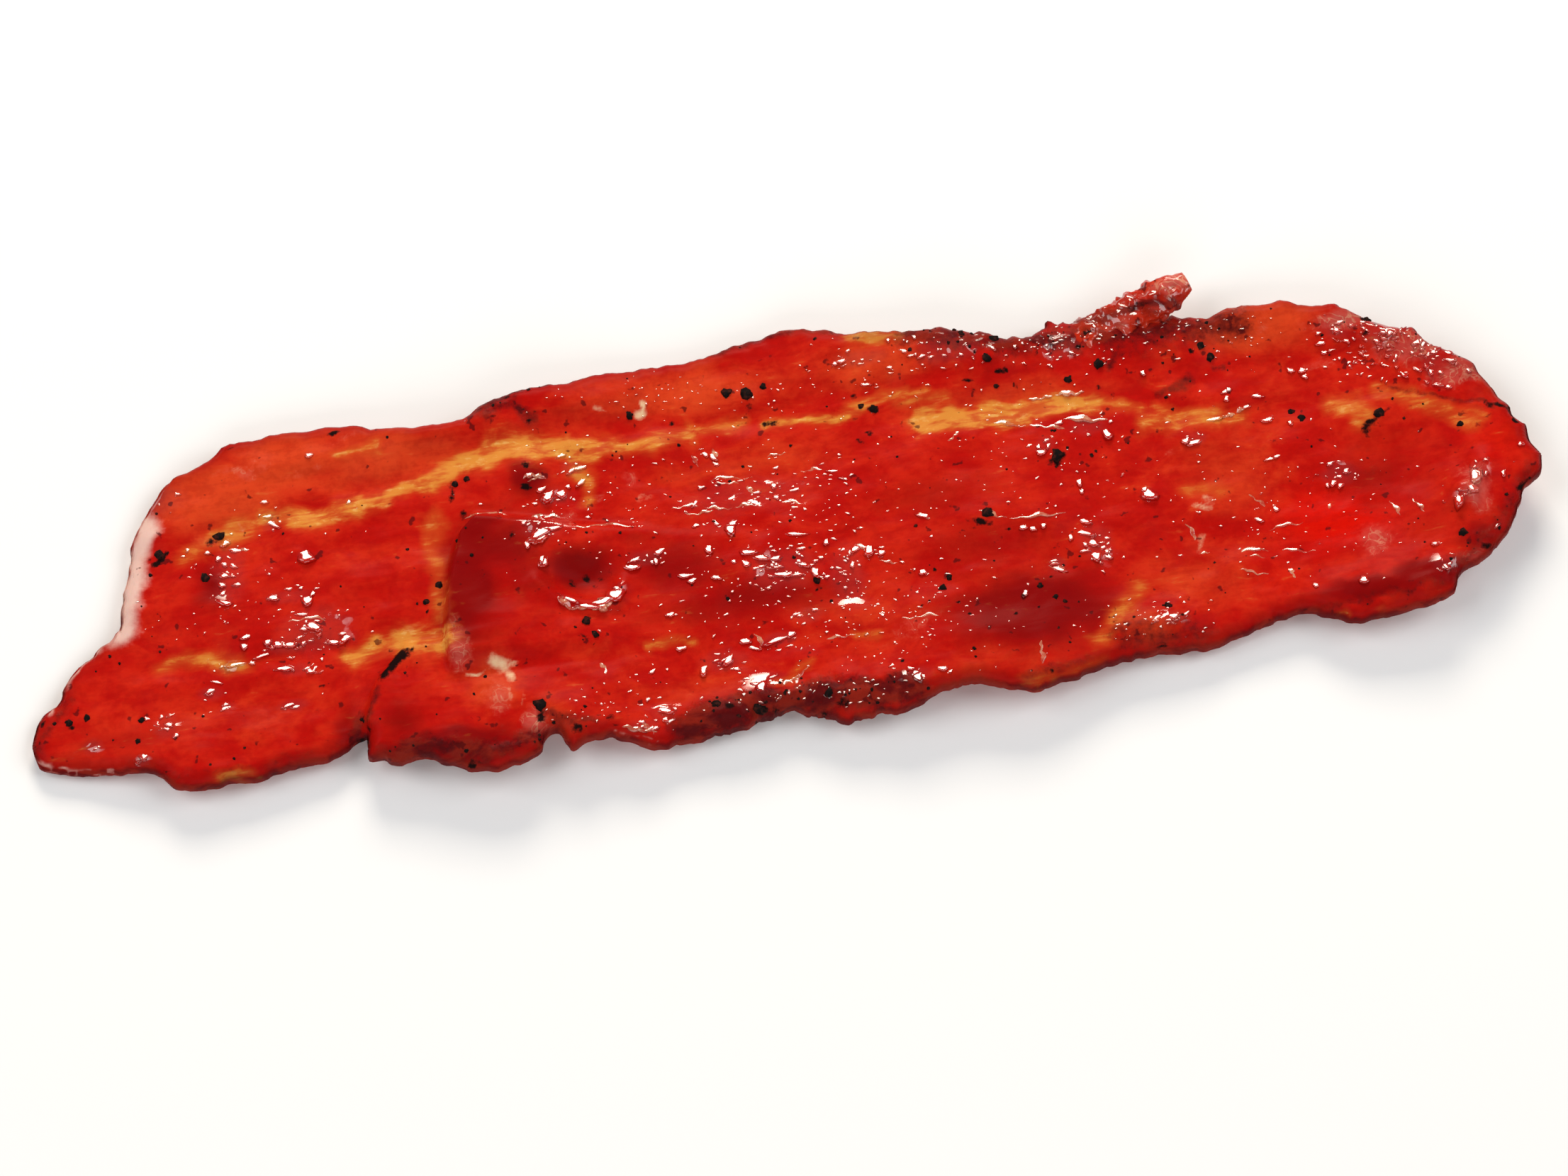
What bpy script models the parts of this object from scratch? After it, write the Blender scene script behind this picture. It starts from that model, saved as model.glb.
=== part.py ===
"""Bacon jerky: one glazed, craggy slice of cured pork belly, with a torn shred standing off its far edge.

The slice is drawn in millimetres on its own plan: x runs along the slice, y across it and z up. Its two
long edges are curves through a few measured points. Ribs span from the near edge to the far edge, and each
rib carries the top, the underside and the rounded rims, so the slice is one closed loft. The last step
turns the plan into metres, with the origin at the middle of the footprint and the underside at z = 0.
"""

import bmesh
import bpy
import numpy as np

MM = 0.001
SEED = 41

# Driving dimensions, in millimetres
PLAN_CENTRE = (-0.65, 0.15)
THICKNESS = 3.5
RIM_HEIGHT = 0.45
TOP_RIM_RADIUS = 1.8
UNDER_RIM_RADIUS = 1.2
WAVE_LENGTH = 62.0
WAVE_HEIGHT = 1.6
CUP_HEIGHT = 1.4
END_LIFT = 1.8
RAG_DEPTH = 0.28
CRAG_HEIGHT = 0.32

# Sampling
RIBS = 144
RIB_LEAD = 0.09  # share of its length by which the far edge runs ahead of the near edge in the left half
TOP_STEPS = 18
UNDER_STEPS = 9

# Far edge of the slice, left tip to right tip
FAR_EDGE = (
    (-90.6, -14.3), (-89.4, -10.8), (-87.4, -9.4), (-85.4, -6.2), (-82.4, -3.0), (-79.6, -1.3),
    (-78.4, 2.5), (-77.3, 7.8), (-75.2, 12.7), (-72.3, 16.4), (-67.1, 19.1), (-64.5, 20.8),
    (-59.5, 21.0), (-50.3, 20.9), (-42.8, 19.1), (-35.6, 19.6), (-31.0, 21.6), (-23.8, 22.8),
    (-18.4, 23.5), (-9.2, 24.0), (-3.0, 24.9), (4.1, 26.1), (10.8, 24.2), (18.1, 23.0),
    (24.6, 22.3), (30.4, 20.7), (33.2, 21.6), (34.6, 22.5), (36.4, 22.6), (37.0, 22.0),
    (42.0, 21.2), (49.0, 21.2), (52.4, 20.9), (57.5, 21.6), (62.7, 21.1), (69.2, 19.4),
    (70.9, 18.2), (72.8, 16.7), (75.5, 15.0), (77.2, 14.9), (77.9, 13.5), (79.9, 11.2),
    (81.7, 10.1), (83.4, 9.0), (83.9, 7.1), (85.4, 4.0), (86.3, 2.6), (86.6, 1.3),
    (87.7, 0.7), (88.4, 0.2), (88.3, -2.2), (89.3, -4.1),
)

# Near edge, left tip to right tip, with its two torn notches
NEAR_EDGE = (
    (-90.6, -14.3), (-90.0, -16.9), (-87.9, -17.9), (-83.8, -18.9), (-77.3, -19.7), (-73.7, -22.4),
    (-67.0, -22.6), (-61.5, -21.7), (-56.2, -21.1), (-54.5, -20.4), (-53.8, -19.5), (-52.8, -19.0),
    (-51.9, -19.2), (-51.7, -20.0), (-51.9, -21.8), (-50.4, -22.2), (-48.9, -23.3), (-45.3, -23.3),
    (-42.6, -24.5), (-38.8, -25.7), (-33.1, -24.9), (-31.8, -23.4), (-30.8, -22.6), (-29.7, -22.8),
    (-28.5, -24.7), (-25.4, -23.4), (-18.0, -25.3), (-9.9, -23.8), (-1.1, -22.8), (3.5, -25.1),
    (9.5, -25.4), (17.2, -23.3), (25.8, -24.8), (34.4, -22.7), (39.7, -21.5), (46.6, -21.8),
    (51.5, -20.5), (58.2, -18.9), (65.2, -21.5), (74.6, -20.3), (77.2, -17.6), (82.0, -14.6),
    (86.0, -8.5), (88.6, -6.4), (89.3, -4.1),
)

# Folds, where the meat overlaps and steps up to the right: (y, x) along the step, then the step's height,
# its run-out to the right, and the slope of the line on which its far end stops
FOLDS = (
    (
        ((-11.0, -41.5), (-8.0, -41.5), (-3.5, -40.7), (0.0, -39.8), (4.0, -38.5), (5.8, -36.5)),
        1.7, 22.0, -0.2,
    ),
    (((-24.0, -52.0), (-17.3, -51.8), (-14.2, -50.7), (-12.1, -49.2), (-9.2, -46.5)), 1.0, 9.0, 0.0),
)

# Lumps and hollows of the top: x, y, radius along x, radius along y, height
LUMPS = (
    (-24.6, -3.0, 3.8, 2.6, -1.7),
    (-29.5, 11.2, 2.4, 2.4, 0.9),
    (-5.0, -3.5, 14.0, 6.0, 0.5),
    (24.0, -2.7, 3.6, 2.2, 0.6),
    (29.5, -3.3, 3.4, 1.8, 0.6),
    (-1.0, -21.8, 12.0, 2.4, 1.1),
    (41.0, -18.8, 6.0, 2.8, 1.0),
    (26.0, 19.5, 9.0, 3.2, 0.9),
    (46.0, 18.5, 12.0, 3.6, 1.2),
    (72.0, -2.0, 7.0, 6.0, -1.1),
    (66.5, -17.6, 6.5, 2.4, 0.8),
    (79.0, -7.5, 2.0, 2.0, 1.2),
    (81.8, -4.8, 1.8, 1.8, 1.0),
    (-53.6, -17.2, 2.0, 3.0, -0.9),
    (-60.0, -4.0, 12.0, 6.0, 0.4),
    (-66.0, 4.5, 3.0, 6.0, -0.5),
    (15.0, 4.0, 12.0, 5.0, 0.35),
)

# Raised cords and sunk seams of fat: points, half width, height
STREAKS = (
    (((-70.0, 8.5), (-57.0, 11.0), (-43.0, 12.9), (-28.4, 15.6), (-6.0, 15.0), (14.0, 16.5)), 1.8, -0.35),
    (((18.0, 11.8), (30.0, 11.9), (42.8, 10.2), (55.2, 6.9), (72.0, 7.6)), 1.5, -0.3),
    (((-76.5, -7.5), (-66.0, -7.8), (-54.0, -8.2), (-43.0, -7.8)), 1.6, -0.35),
    (((69.0, 17.5), (78.0, 12.5), (84.0, 7.5), (86.5, 1.0)), 2.6, 1.0),
    (((-60.0, 16.5), (-48.0, 17.0), (-34.0, 18.0), (-16.0, 20.0)), 1.8, 0.4),
    (((-30.1, -3.4), (-28.5, -5.2), (-25.2, -6.9), (-22.9, -7.3), (-20.8, -6.3), (-20.2, -4.4)), 1.0, 0.6),
)

# Torn shred: x, y, z, half width and half height along its spine, root first
SHRED_SPINE = (
    (34.0, 19.2, 2.8, 1.6, 1.1),
    (38.5, 19.8, 3.4, 2.1, 1.4),
    (42.5, 20.9, 4.1, 2.3, 1.5),
    (46.1, 22.0, 4.8, 2.5, 1.5),
    (48.9, 23.0, 5.3, 2.2, 1.4),
    (50.8, 23.9, 5.6, 1.6, 1.2),
    (51.8, 24.3, 5.7, 1.2, 0.8),
)
SHRED_SIDES = 10
SHRED_RINGS = 16

# Clusters of black pepper and burnt sugar crumbs: x, y, spread, count and crumb radius
CRUMB_CLUSTERS = (
    (-73.6, 7.2, 0.9, 2, 0.7), (-66.4, 8.7, 0.8, 2, 1.0), (-68.6, 3.6, 1.2, 2, 0.7),
    (-86.0, -12.3, 1.6, 3, 0.6), (-77.6, -13.4, 2.4, 2, 0.5), (-38.2, 10.6, 1.8, 3, 0.6),
    (-43.2, -4.0, 1.4, 2, 0.5), (-25.2, -9.2, 1.3, 3, 0.7), (-31.8, -19.2, 0.6, 2, 1.0),
    (-16.6, 17.4, 0.8, 2, 0.7), (-2.4, 18.0, 1.8, 4, 0.8), (12.2, 13.6, 1.4, 3, 0.7),
    (2.4, -7.2, 0.7, 2, 0.7), (16.6, -10.8, 1.8, 3, 0.6), (32.8, 4.4, 0.5, 2, 1.0),
    (23.4, -2.4, 1.4, 3, 0.8), (26.4, 17.6, 2.6, 5, 0.8), (39.6, 15.8, 3.2, 5, 0.7),
    (45.2, 19.6, 0.9, 2, 1.1), (52.0, 16.4, 1.8, 4, 0.7), (28.0, -12.0, 2.0, 3, 0.5),
    (42.4, -16.6, 2.0, 3, 0.7), (71.3, 4.3, 1.4, 2, 0.8), (62.4, 5.4, 1.8, 2, 0.5),
    (80.6, 1.0, 1.6, 2, 0.5), (78.0, -13.0, 1.8, 2, 0.7), (-6.5, -22.4, 1.2, 2, 0.8),
    (1.6, -22.0, 1.2, 2, 0.8), (-11.5, -21.4, 1.0, 1, 0.8), (72.3, 16.4, 1.2, 2, 0.6),
)
CRUMB_SINK = 0.30
CRUMB_FLATNESS = 0.75


def clear_scene():
    for item in list(bpy.data.objects):
        bpy.data.objects.remove(item, do_unlink=True)


def new_collection(name):
    collection = bpy.data.collections.new(name)
    bpy.context.scene.collection.children.link(collection)
    return collection


def smooth_ramp(start, end, value):
    """0 before start, 1 after end, and an S curve between."""
    part = np.clip((value - start) / (end - start), 0.0, 1.0)
    return part * part * (3.0 - 2.0 * part)


def lattice_noise(x, y, cell, seed):
    """Smooth noise from -1 to 1: random values on a square lattice, eased between."""
    table = np.random.default_rng(seed).uniform(-1.0, 1.0, (256, 256))
    column, row = x / cell + 128.0, y / cell + 128.0
    left, below = np.floor(column).astype(int), np.floor(row).astype(int)
    along, up = smooth_ramp(0.0, 1.0, column - left), smooth_ramp(0.0, 1.0, row - below)
    near = table[left, below] * (1 - along) + table[left + 1, below] * along
    far = table[left, below + 1] * (1 - along) + table[left + 1, below + 1] * along
    return near * (1 - up) + far * up


def smooth_path(points, steps=24):
    """A Catmull-Rom curve through the points, sampled closely."""
    knots = np.array(points, dtype=float)
    knots = np.vstack([2 * knots[0] - knots[1], knots, 2 * knots[-1] - knots[-2]])
    before, start, end, after = knots[:-3], knots[1:-2], knots[2:-1], knots[3:]
    part = np.linspace(0.0, 1.0, steps, endpoint=False)[:, None, None]
    curve = 0.5 * (
        2 * start
        + (end - before) * part
        + (2 * before - 5 * start + 4 * end - after) * part**2
        + (3 * start - before - 3 * end + after) * part**3
    )
    return np.vstack([curve.transpose(1, 0, 2).reshape(-1, knots.shape[1]), knots[-2]])


def along_path(curve, shares):
    """Points at the given shares, 0 to 1, of the curve's plan length."""
    strides = np.linalg.norm(np.diff(curve[:, :2], axis=0), axis=1)
    travelled = np.concatenate([[0.0], np.cumsum(strides)])
    columns = [np.interp(shares * travelled[-1], travelled, column) for column in curve.T]
    return np.stack(columns, axis=-1)


def distance_to_path(x, y, points):
    """Plan distance from each x, y to a chain of straight runs."""
    chain = np.array(points, dtype=float)
    nearest = np.full(np.shape(x), np.inf)
    for start, end in zip(chain[:-1], chain[1:]):
        run = end - start
        share = ((x - start[0]) * run[0] + (y - start[1]) * run[1]) / (run @ run)
        share = np.clip(share, 0.0, 1.0)
        gap = np.hypot(x - start[0] - share * run[0], y - start[1] - share * run[1])
        nearest = np.minimum(nearest, gap)
    return nearest


def lift(x, y):
    """Height of the underside over the table: long waves and cupped edges, flat where they touch."""
    wave = WAVE_HEIGHT * 0.5 * (1.0 - np.cos(2 * np.pi * (x + 8.0) / WAVE_LENGTH))
    cup = CUP_HEIGHT * smooth_ramp(9.0, 24.0, np.abs(y - 1.0))
    cup = cup * (0.5 + 0.5 * np.sin(2 * np.pi * (x - 5.0) / 47.0))
    end = END_LIFT * smooth_ramp(58.0, 92.0, x)
    settled = smooth_ramp(-90.0, -72.0, x)
    return np.maximum((wave + cup) * settled + end - 0.35, 0.0)


def fold_height(x, y):
    """Each fold steps up across its line, fades to the right, and stops at the line's two ends."""
    total = np.zeros(np.shape(x))
    for line, height, run_out, slope in FOLDS:
        rows, columns = np.array(line).T
        past = x - np.interp(y, rows, columns)
        far_end = rows[-1] + slope * np.maximum(x - columns[-1], 0.0)
        window = smooth_ramp(rows[0] - 3.0, rows[0], y) * (1.0 - smooth_ramp(far_end - 0.5, far_end + 1.5, y))
        fade = np.exp(-np.square(np.maximum(past, 0.0) / run_out))
        total = total + height * window * fade * smooth_ramp(-0.7, 0.7, past)
    return total


def top_relief(x, y):
    """Lumps, hollows, streaks, folds and crags added to the plain thickness."""
    relief = fold_height(x, y)
    for centre_x, centre_y, radius_x, radius_y, height in LUMPS:
        reach = np.square((x - centre_x) / radius_x) + np.square((y - centre_y) / radius_y)
        relief = relief + height * np.exp(-reach)
    for points, half_width, height in STREAKS:
        relief = relief + height * np.exp(-np.square(distance_to_path(x, y, points) / half_width))
    crags = lattice_noise(x, y * 1.6, 7.0, SEED) + 0.6 * lattice_noise(x, y * 1.4, 3.4, SEED + 1)
    return relief + CRAG_HEIGHT * crags


def thickness(x, y):
    """Meat thickness: thinner at the fatty left end, uneven all over."""
    thin_end = 1.0 - 0.34 * (1.0 - smooth_ramp(-92.0, -66.0, x))
    return np.maximum(THICKNESS * thin_end + top_relief(x, y), 1.3)


def raggedness(x, on_far_edge):
    """How deep the torn edge wanders, in millimetres, most where it is burnt."""
    burnt = (38.0, 20.0) if on_far_edge else (0.0, 16.0)
    return RAG_DEPTH * (1.0 + 1.4 * np.exp(-np.square((x - burnt[0]) / burnt[1])))


def ragged_edge(points, on_far_edge):
    """An edge curve sampled at the ribs and pushed in and out along its normal."""
    shares = np.linspace(0.0, 1.0, RIBS + 2)
    if on_far_edge:
        ahead = smooth_ramp(0.0, 0.2, shares) * (1.0 - smooth_ramp(0.25, 0.7, shares))
        shares = shares + RIB_LEAD * ahead
    edge = along_path(smooth_path(points), shares)
    tangent = np.gradient(edge, axis=0)
    tangent = tangent / np.linalg.norm(tangent, axis=1, keepdims=True)
    outward = np.stack([-tangent[:, 1], tangent[:, 0]], axis=-1) * (1.0 if on_far_edge else -1.0)
    place = shares * 190.0
    seed = SEED + (10 if on_far_edge else 20)
    wander = lattice_noise(place, 0 * place, 3.1, seed) + 0.5 * lattice_noise(place, 0 * place, 1.7, seed + 1)
    quiet_tips = smooth_ramp(0.0, 0.02, shares) * (1.0 - smooth_ramp(0.98, 1.0, shares))
    push = raggedness(edge[:, 0], on_far_edge) * wander * quiet_tips
    return edge + outward * push[:, None]


def rim(distance, radius):
    """Share of full height at a distance from the edge: a quarter circle out to the radius."""
    inside = np.clip(distance / radius, 0.0, 1.0)
    return np.sqrt(1.0 - np.square(1.0 - inside))


def rib_points(near, far, shares, on_top):
    """Points on every rib at the given shares of its length, on the top or the underside."""
    x = near[:, 0:1] + (far[:, 0:1] - near[:, 0:1]) * shares
    y = near[:, 1:2] + (far[:, 1:2] - near[:, 1:2]) * shares
    length = np.linalg.norm(far - near, axis=1)[:, None]
    distance = np.minimum(shares, 1.0 - shares) * length
    low, meat = lift(x, y), thickness(x, y)
    middle = low + RIM_HEIGHT * meat
    if on_top:
        z = middle + (low + meat - middle) * rim(distance, TOP_RIM_RADIUS)
    else:
        z = middle + (low - middle) * rim(distance, UNDER_RIM_RADIUS)
    return np.stack([x, y, z], axis=-1)


def eased_shares(steps):
    """Shares from 0 to 1, close together at both ends, where the rims turn."""
    return 0.5 - 0.5 * np.cos(np.pi * np.arange(steps + 1) / steps)


def loft(name, rings, start, end, collection):
    """A closed mesh object through rings of equal counts, drawn to a point at each end."""
    count, around = rings.shape[:2]
    points = np.vstack([start, rings.reshape(-1, 3), end])
    grid = 1 + np.arange(count * around).reshape(count, around)
    ahead = np.roll(grid, -1, axis=1)
    sides = np.stack([grid[:-1], ahead[:-1], ahead[1:], grid[1:]], axis=-1).reshape(-1, 4)
    faces = [tuple(int(corner) for corner in face) for face in sides]
    faces += [(0, int(b), int(a)) for a, b in zip(grid[0], ahead[0])]
    faces += [(len(points) - 1, int(a), int(b)) for a, b in zip(grid[-1], ahead[-1])]
    mesh = bpy.data.meshes.new(name)
    mesh.from_pydata(points.tolist(), [], faces)
    shape = bmesh.new()
    shape.from_mesh(mesh)
    bmesh.ops.triangulate(shape, faces=shape.faces[:])
    bmesh.ops.recalc_face_normals(shape, faces=shape.faces[:])
    shape.to_mesh(mesh)
    shape.free()
    item = bpy.data.objects.new(name, mesh)
    collection.objects.link(item)
    return item


def add_slice(collection):
    """The whole slice: the top of every rib, then its underside back to the near edge."""
    far = ragged_edge(FAR_EDGE, True)
    near = ragged_edge(NEAR_EDGE, False)
    top = rib_points(near[1:-1], far[1:-1], eased_shares(TOP_STEPS), True)
    under = rib_points(near[1:-1], far[1:-1], eased_shares(UNDER_STEPS)[1:-1][::-1], False)
    rings = np.concatenate([top, under], axis=1)
    tips = []
    for tip in (far[0], far[-1]):
        height = lift(tip[0], tip[1]) + RIM_HEIGHT * thickness(tip[0], tip[1])
        tips.append((tip[0], tip[1], height))
    return loft("jerky_slice", rings, tips[0], tips[1], collection)


def add_shred(collection):
    """The torn finger of meat: rounded, lumpy rings along a rising spine."""
    shares = (np.arange(SHRED_RINGS) + 0.5) / SHRED_RINGS
    curve = smooth_path(SHRED_SPINE)
    spine = along_path(curve, shares)
    ahead = np.gradient(spine[:, :3], axis=0)
    ahead = ahead / np.linalg.norm(ahead, axis=1, keepdims=True)
    across = np.cross((0.0, 0.0, 1.0), ahead)
    across = across / np.linalg.norm(across, axis=1, keepdims=True)
    upward = np.cross(ahead, across)
    angle = 2 * np.pi * np.arange(SHRED_SIDES) / SHRED_SIDES
    lumpy = 1.0 + 0.22 * lattice_noise(spine[:, 0:1] * 2.0, 3.0 * np.cos(angle), 2.0, SEED + 30)
    wide = spine[:, 3:4] * np.cos(angle) * lumpy
    tall = spine[:, 4:5] * np.sin(angle) * lumpy
    rings = spine[:, None, :3] + wide[..., None] * across[:, None] + tall[..., None] * upward[:, None]
    return loft("shred", rings, curve[0, :3], curve[-1, :3], collection)


def crumb_places():
    """Plan place and radius of each crumb: seeded draws round each cluster's middle, kept apart."""
    draw = np.random.default_rng(SEED + 50)
    places = []
    for centre_x, centre_y, spread, count, radius in CRUMB_CLUSTERS:
        shifts = spread * draw.uniform(-1.4, 1.4, (count, 2))
        shifts[0] = 0.0
        sizes = radius * draw.uniform(0.75, 1.1, count) * (1.0 - 0.08 * np.arange(count))
        for (shift_x, shift_y), size in zip(shifts, sizes):
            x, y = centre_x + shift_x, centre_y + shift_y
            if all(np.hypot(x - other[0], y - other[1]) > size + other[2] + 0.4 for other in places):
                places.append((x, y, size))
    return places


def add_crumb(collection, x, y, radius, draw):
    """One angular crumb, a little flat, sunk into the top of the slice."""
    mesh = bpy.data.meshes.new("crumb")
    shape = bmesh.new()
    bmesh.ops.create_icosphere(shape, subdivisions=1, radius=radius)
    for vertex in shape.verts:
        vertex.co *= draw.uniform(0.82, 1.18)
        vertex.co.z *= CRUMB_FLATNESS
    shape.to_mesh(mesh)
    shape.free()
    item = bpy.data.objects.new("crumb", mesh)
    item.location = (x, y, float(lift(x, y) + thickness(x, y)) - CRUMB_SINK * radius)
    item.rotation_euler = (0.0, 0.0, draw.uniform(0.0, 2 * np.pi))
    collection.objects.link(item)


def join_all(item, extras):
    """One union of the slice with everything in the extras collection, applied to the slice's mesh."""
    union = item.modifiers.new("join", "BOOLEAN")
    union.operation = "UNION"
    union.operand_type = "COLLECTION"
    union.collection = extras
    union.solver = "MANIFOLD"
    bpy.context.view_layer.update()
    joined = item.evaluated_get(bpy.context.evaluated_depsgraph_get())
    mesh = bpy.data.meshes.new_from_object(joined)
    item.modifiers.clear()
    item.data = mesh
    for extra in list(extras.objects):
        bpy.data.objects.remove(extra, do_unlink=True)
    bpy.data.collections.remove(extras)


def set_in_metres(item):
    """Moves the plan's centre to the origin and scales the mesh from millimetres to metres."""
    mesh = item.data
    points = np.empty(len(mesh.vertices) * 3)
    mesh.vertices.foreach_get("co", points)
    points = points.reshape(-1, 3) - (PLAN_CENTRE[0], PLAN_CENTRE[1], 0.0)
    mesh.vertices.foreach_set("co", (points * MM).ravel())
    mesh.update()


def glazed_meat():
    """Deep red cured meat under a clear sugar glaze."""
    material = bpy.data.materials.new("glazed_meat")
    material.use_nodes = True
    shader = material.node_tree.nodes["Principled BSDF"]
    shader.inputs["Base Color"].default_value = (0.60, 0.03, 0.012, 1.0)
    shader.inputs["Roughness"].default_value = 0.22
    shader.inputs["Metallic"].default_value = 0.0
    return material


def main():
    clear_scene()
    parts = new_collection("bacon_jerky")
    extras = new_collection("fused_extras")
    jerky = add_slice(parts)
    add_shred(extras)
    draw = np.random.default_rng(SEED + 60)
    for x, y, radius in crumb_places():
        add_crumb(extras, x, y, radius, draw)
    join_all(jerky, extras)
    set_in_metres(jerky)
    jerky.data.materials.clear()
    jerky.data.materials.append(glazed_meat())
    jerky.data.shade_smooth()


main()
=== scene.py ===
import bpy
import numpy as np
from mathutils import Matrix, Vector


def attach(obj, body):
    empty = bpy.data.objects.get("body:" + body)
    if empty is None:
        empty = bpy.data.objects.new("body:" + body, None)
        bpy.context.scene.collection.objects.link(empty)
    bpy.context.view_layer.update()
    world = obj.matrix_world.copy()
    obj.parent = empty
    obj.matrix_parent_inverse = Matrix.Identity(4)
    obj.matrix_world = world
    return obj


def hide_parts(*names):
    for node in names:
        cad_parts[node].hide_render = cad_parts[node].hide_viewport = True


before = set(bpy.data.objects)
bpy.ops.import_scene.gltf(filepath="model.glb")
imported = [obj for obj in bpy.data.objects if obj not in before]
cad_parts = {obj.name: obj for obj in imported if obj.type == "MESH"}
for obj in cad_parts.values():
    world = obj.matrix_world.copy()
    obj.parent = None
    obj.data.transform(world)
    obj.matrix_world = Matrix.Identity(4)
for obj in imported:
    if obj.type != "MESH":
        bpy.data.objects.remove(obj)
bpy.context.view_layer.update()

# Bacon jerky: a long glazed slice with fat streaks, a fold, a blister hollow, burnt edges and a torn shred.
# Shapes are worked out in millimetres on the slice's plan, x along it and y across it, then set in metres.

print("stage: frame loaded")


# Maths that every piece uses

plan = {
    "centre": (-0.65, 0.15),  # middle of the slice's footprint on the plan, mm
    "metre": 0.001,
    "seed": 41,
}


def smoothRamp(start, end, value):
    # 0 before start, 1 after end, and the cubic 3t^2 - 2t^3 between
    part = np.clip((value - start) / (end - start), 0.0, 1.0)
    return part * part * (3.0 - 2.0 * part)


def latticeNoise(x, y, cell, seed):
    # random values from -1 to 1 on a square lattice, eased between with the cubic ramp
    table = np.random.default_rng(seed).uniform(-1.0, 1.0, (256, 256))
    column, row = x / cell + 128.0, y / cell + 128.0
    left, below = np.floor(column).astype(int) % 255, np.floor(row).astype(int) % 255
    along = smoothRamp(0.0, 1.0, column - np.floor(column))
    up = smoothRamp(0.0, 1.0, row - np.floor(row))
    near = table[left, below] * (1 - along) + table[left + 1, below] * along
    far = table[left, below + 1] * (1 - along) + table[left + 1, below + 1] * along
    return near * (1 - up) + far * up


def noiseSum(x, y, seed, *parts):
    # lattice noises added up: each part is a weight and a cell, and the seeds count on from the first
    return sum(weight * latticeNoise(x, y, cell, seed + step) for step, (weight, cell) in enumerate(parts))


def smoothPath(points, steps=24):
    # Catmull-Rom curve: each span is the cubic through its two ends with slopes from its neighbours
    knots = np.array(points, dtype=float)
    knots = np.vstack([2 * knots[0] - knots[1], knots, 2 * knots[-1] - knots[-2]])
    before, start, end, after = knots[:-3], knots[1:-2], knots[2:-1], knots[3:]
    part = np.linspace(0.0, 1.0, steps, endpoint=False)[:, None, None]
    curve = 0.5 * (
        2 * start
        + (end - before) * part
        + (2 * before - 5 * start + 4 * end - after) * part**2
        + (3 * start - before - 3 * end + after) * part**3
    )
    return np.vstack([curve.transpose(1, 0, 2).reshape(-1, knots.shape[1]), knots[-2]])


def alongPath(curve, shares):
    # points at the given shares of the curve's plan length
    strides = np.linalg.norm(np.diff(curve[:, :2], axis=0), axis=1)
    travelled = np.concatenate([[0.0], np.cumsum(strides)])
    return np.stack([np.interp(shares * travelled[-1], travelled, column) for column in curve.T], axis=-1)


def distanceToPath(x, y, points):
    # plan distance to a chain of straight runs, the least over its runs
    chain = np.array(points, dtype=float)
    nearest = np.full(np.shape(x), np.inf)
    for start, end in zip(chain[:-1], chain[1:]):
        run = end - start
        share = np.clip(((x - start[0]) * run[0] + (y - start[1]) * run[1]) / (run @ run), 0.0, 1.0)
        gap = np.hypot(x - start[0] - share * run[0], y - start[1] - share * run[1])
        nearest = np.minimum(nearest, gap)
    return nearest


def softSpots(x, y, spots):
    # the highest of many soft bumps exp(-(dx/rx)^2 - (dy/ry)^2), each times its strength
    field = np.zeros(np.shape(x))
    for centreX, centreY, radiusX, radiusY, strength in spots:
        reach = np.square((x - centreX) / radiusX) + np.square((y - centreY) / radiusY)
        field = np.maximum(field, strength * np.exp(-reach))
    return field


def softBands(x, y, bands, power=2):
    # the highest of many bands exp(-(distance/halfWidth)^power) along paths, each times its strength
    field = np.zeros(np.shape(x))
    for points, halfWidth, strength in bands:
        field = np.maximum(field, strength * np.exp(-((distanceToPath(x, y, points) / halfWidth) ** power)))
    return field


# Form of the slice: its two edges, its underside, its thickness and its relief

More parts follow.
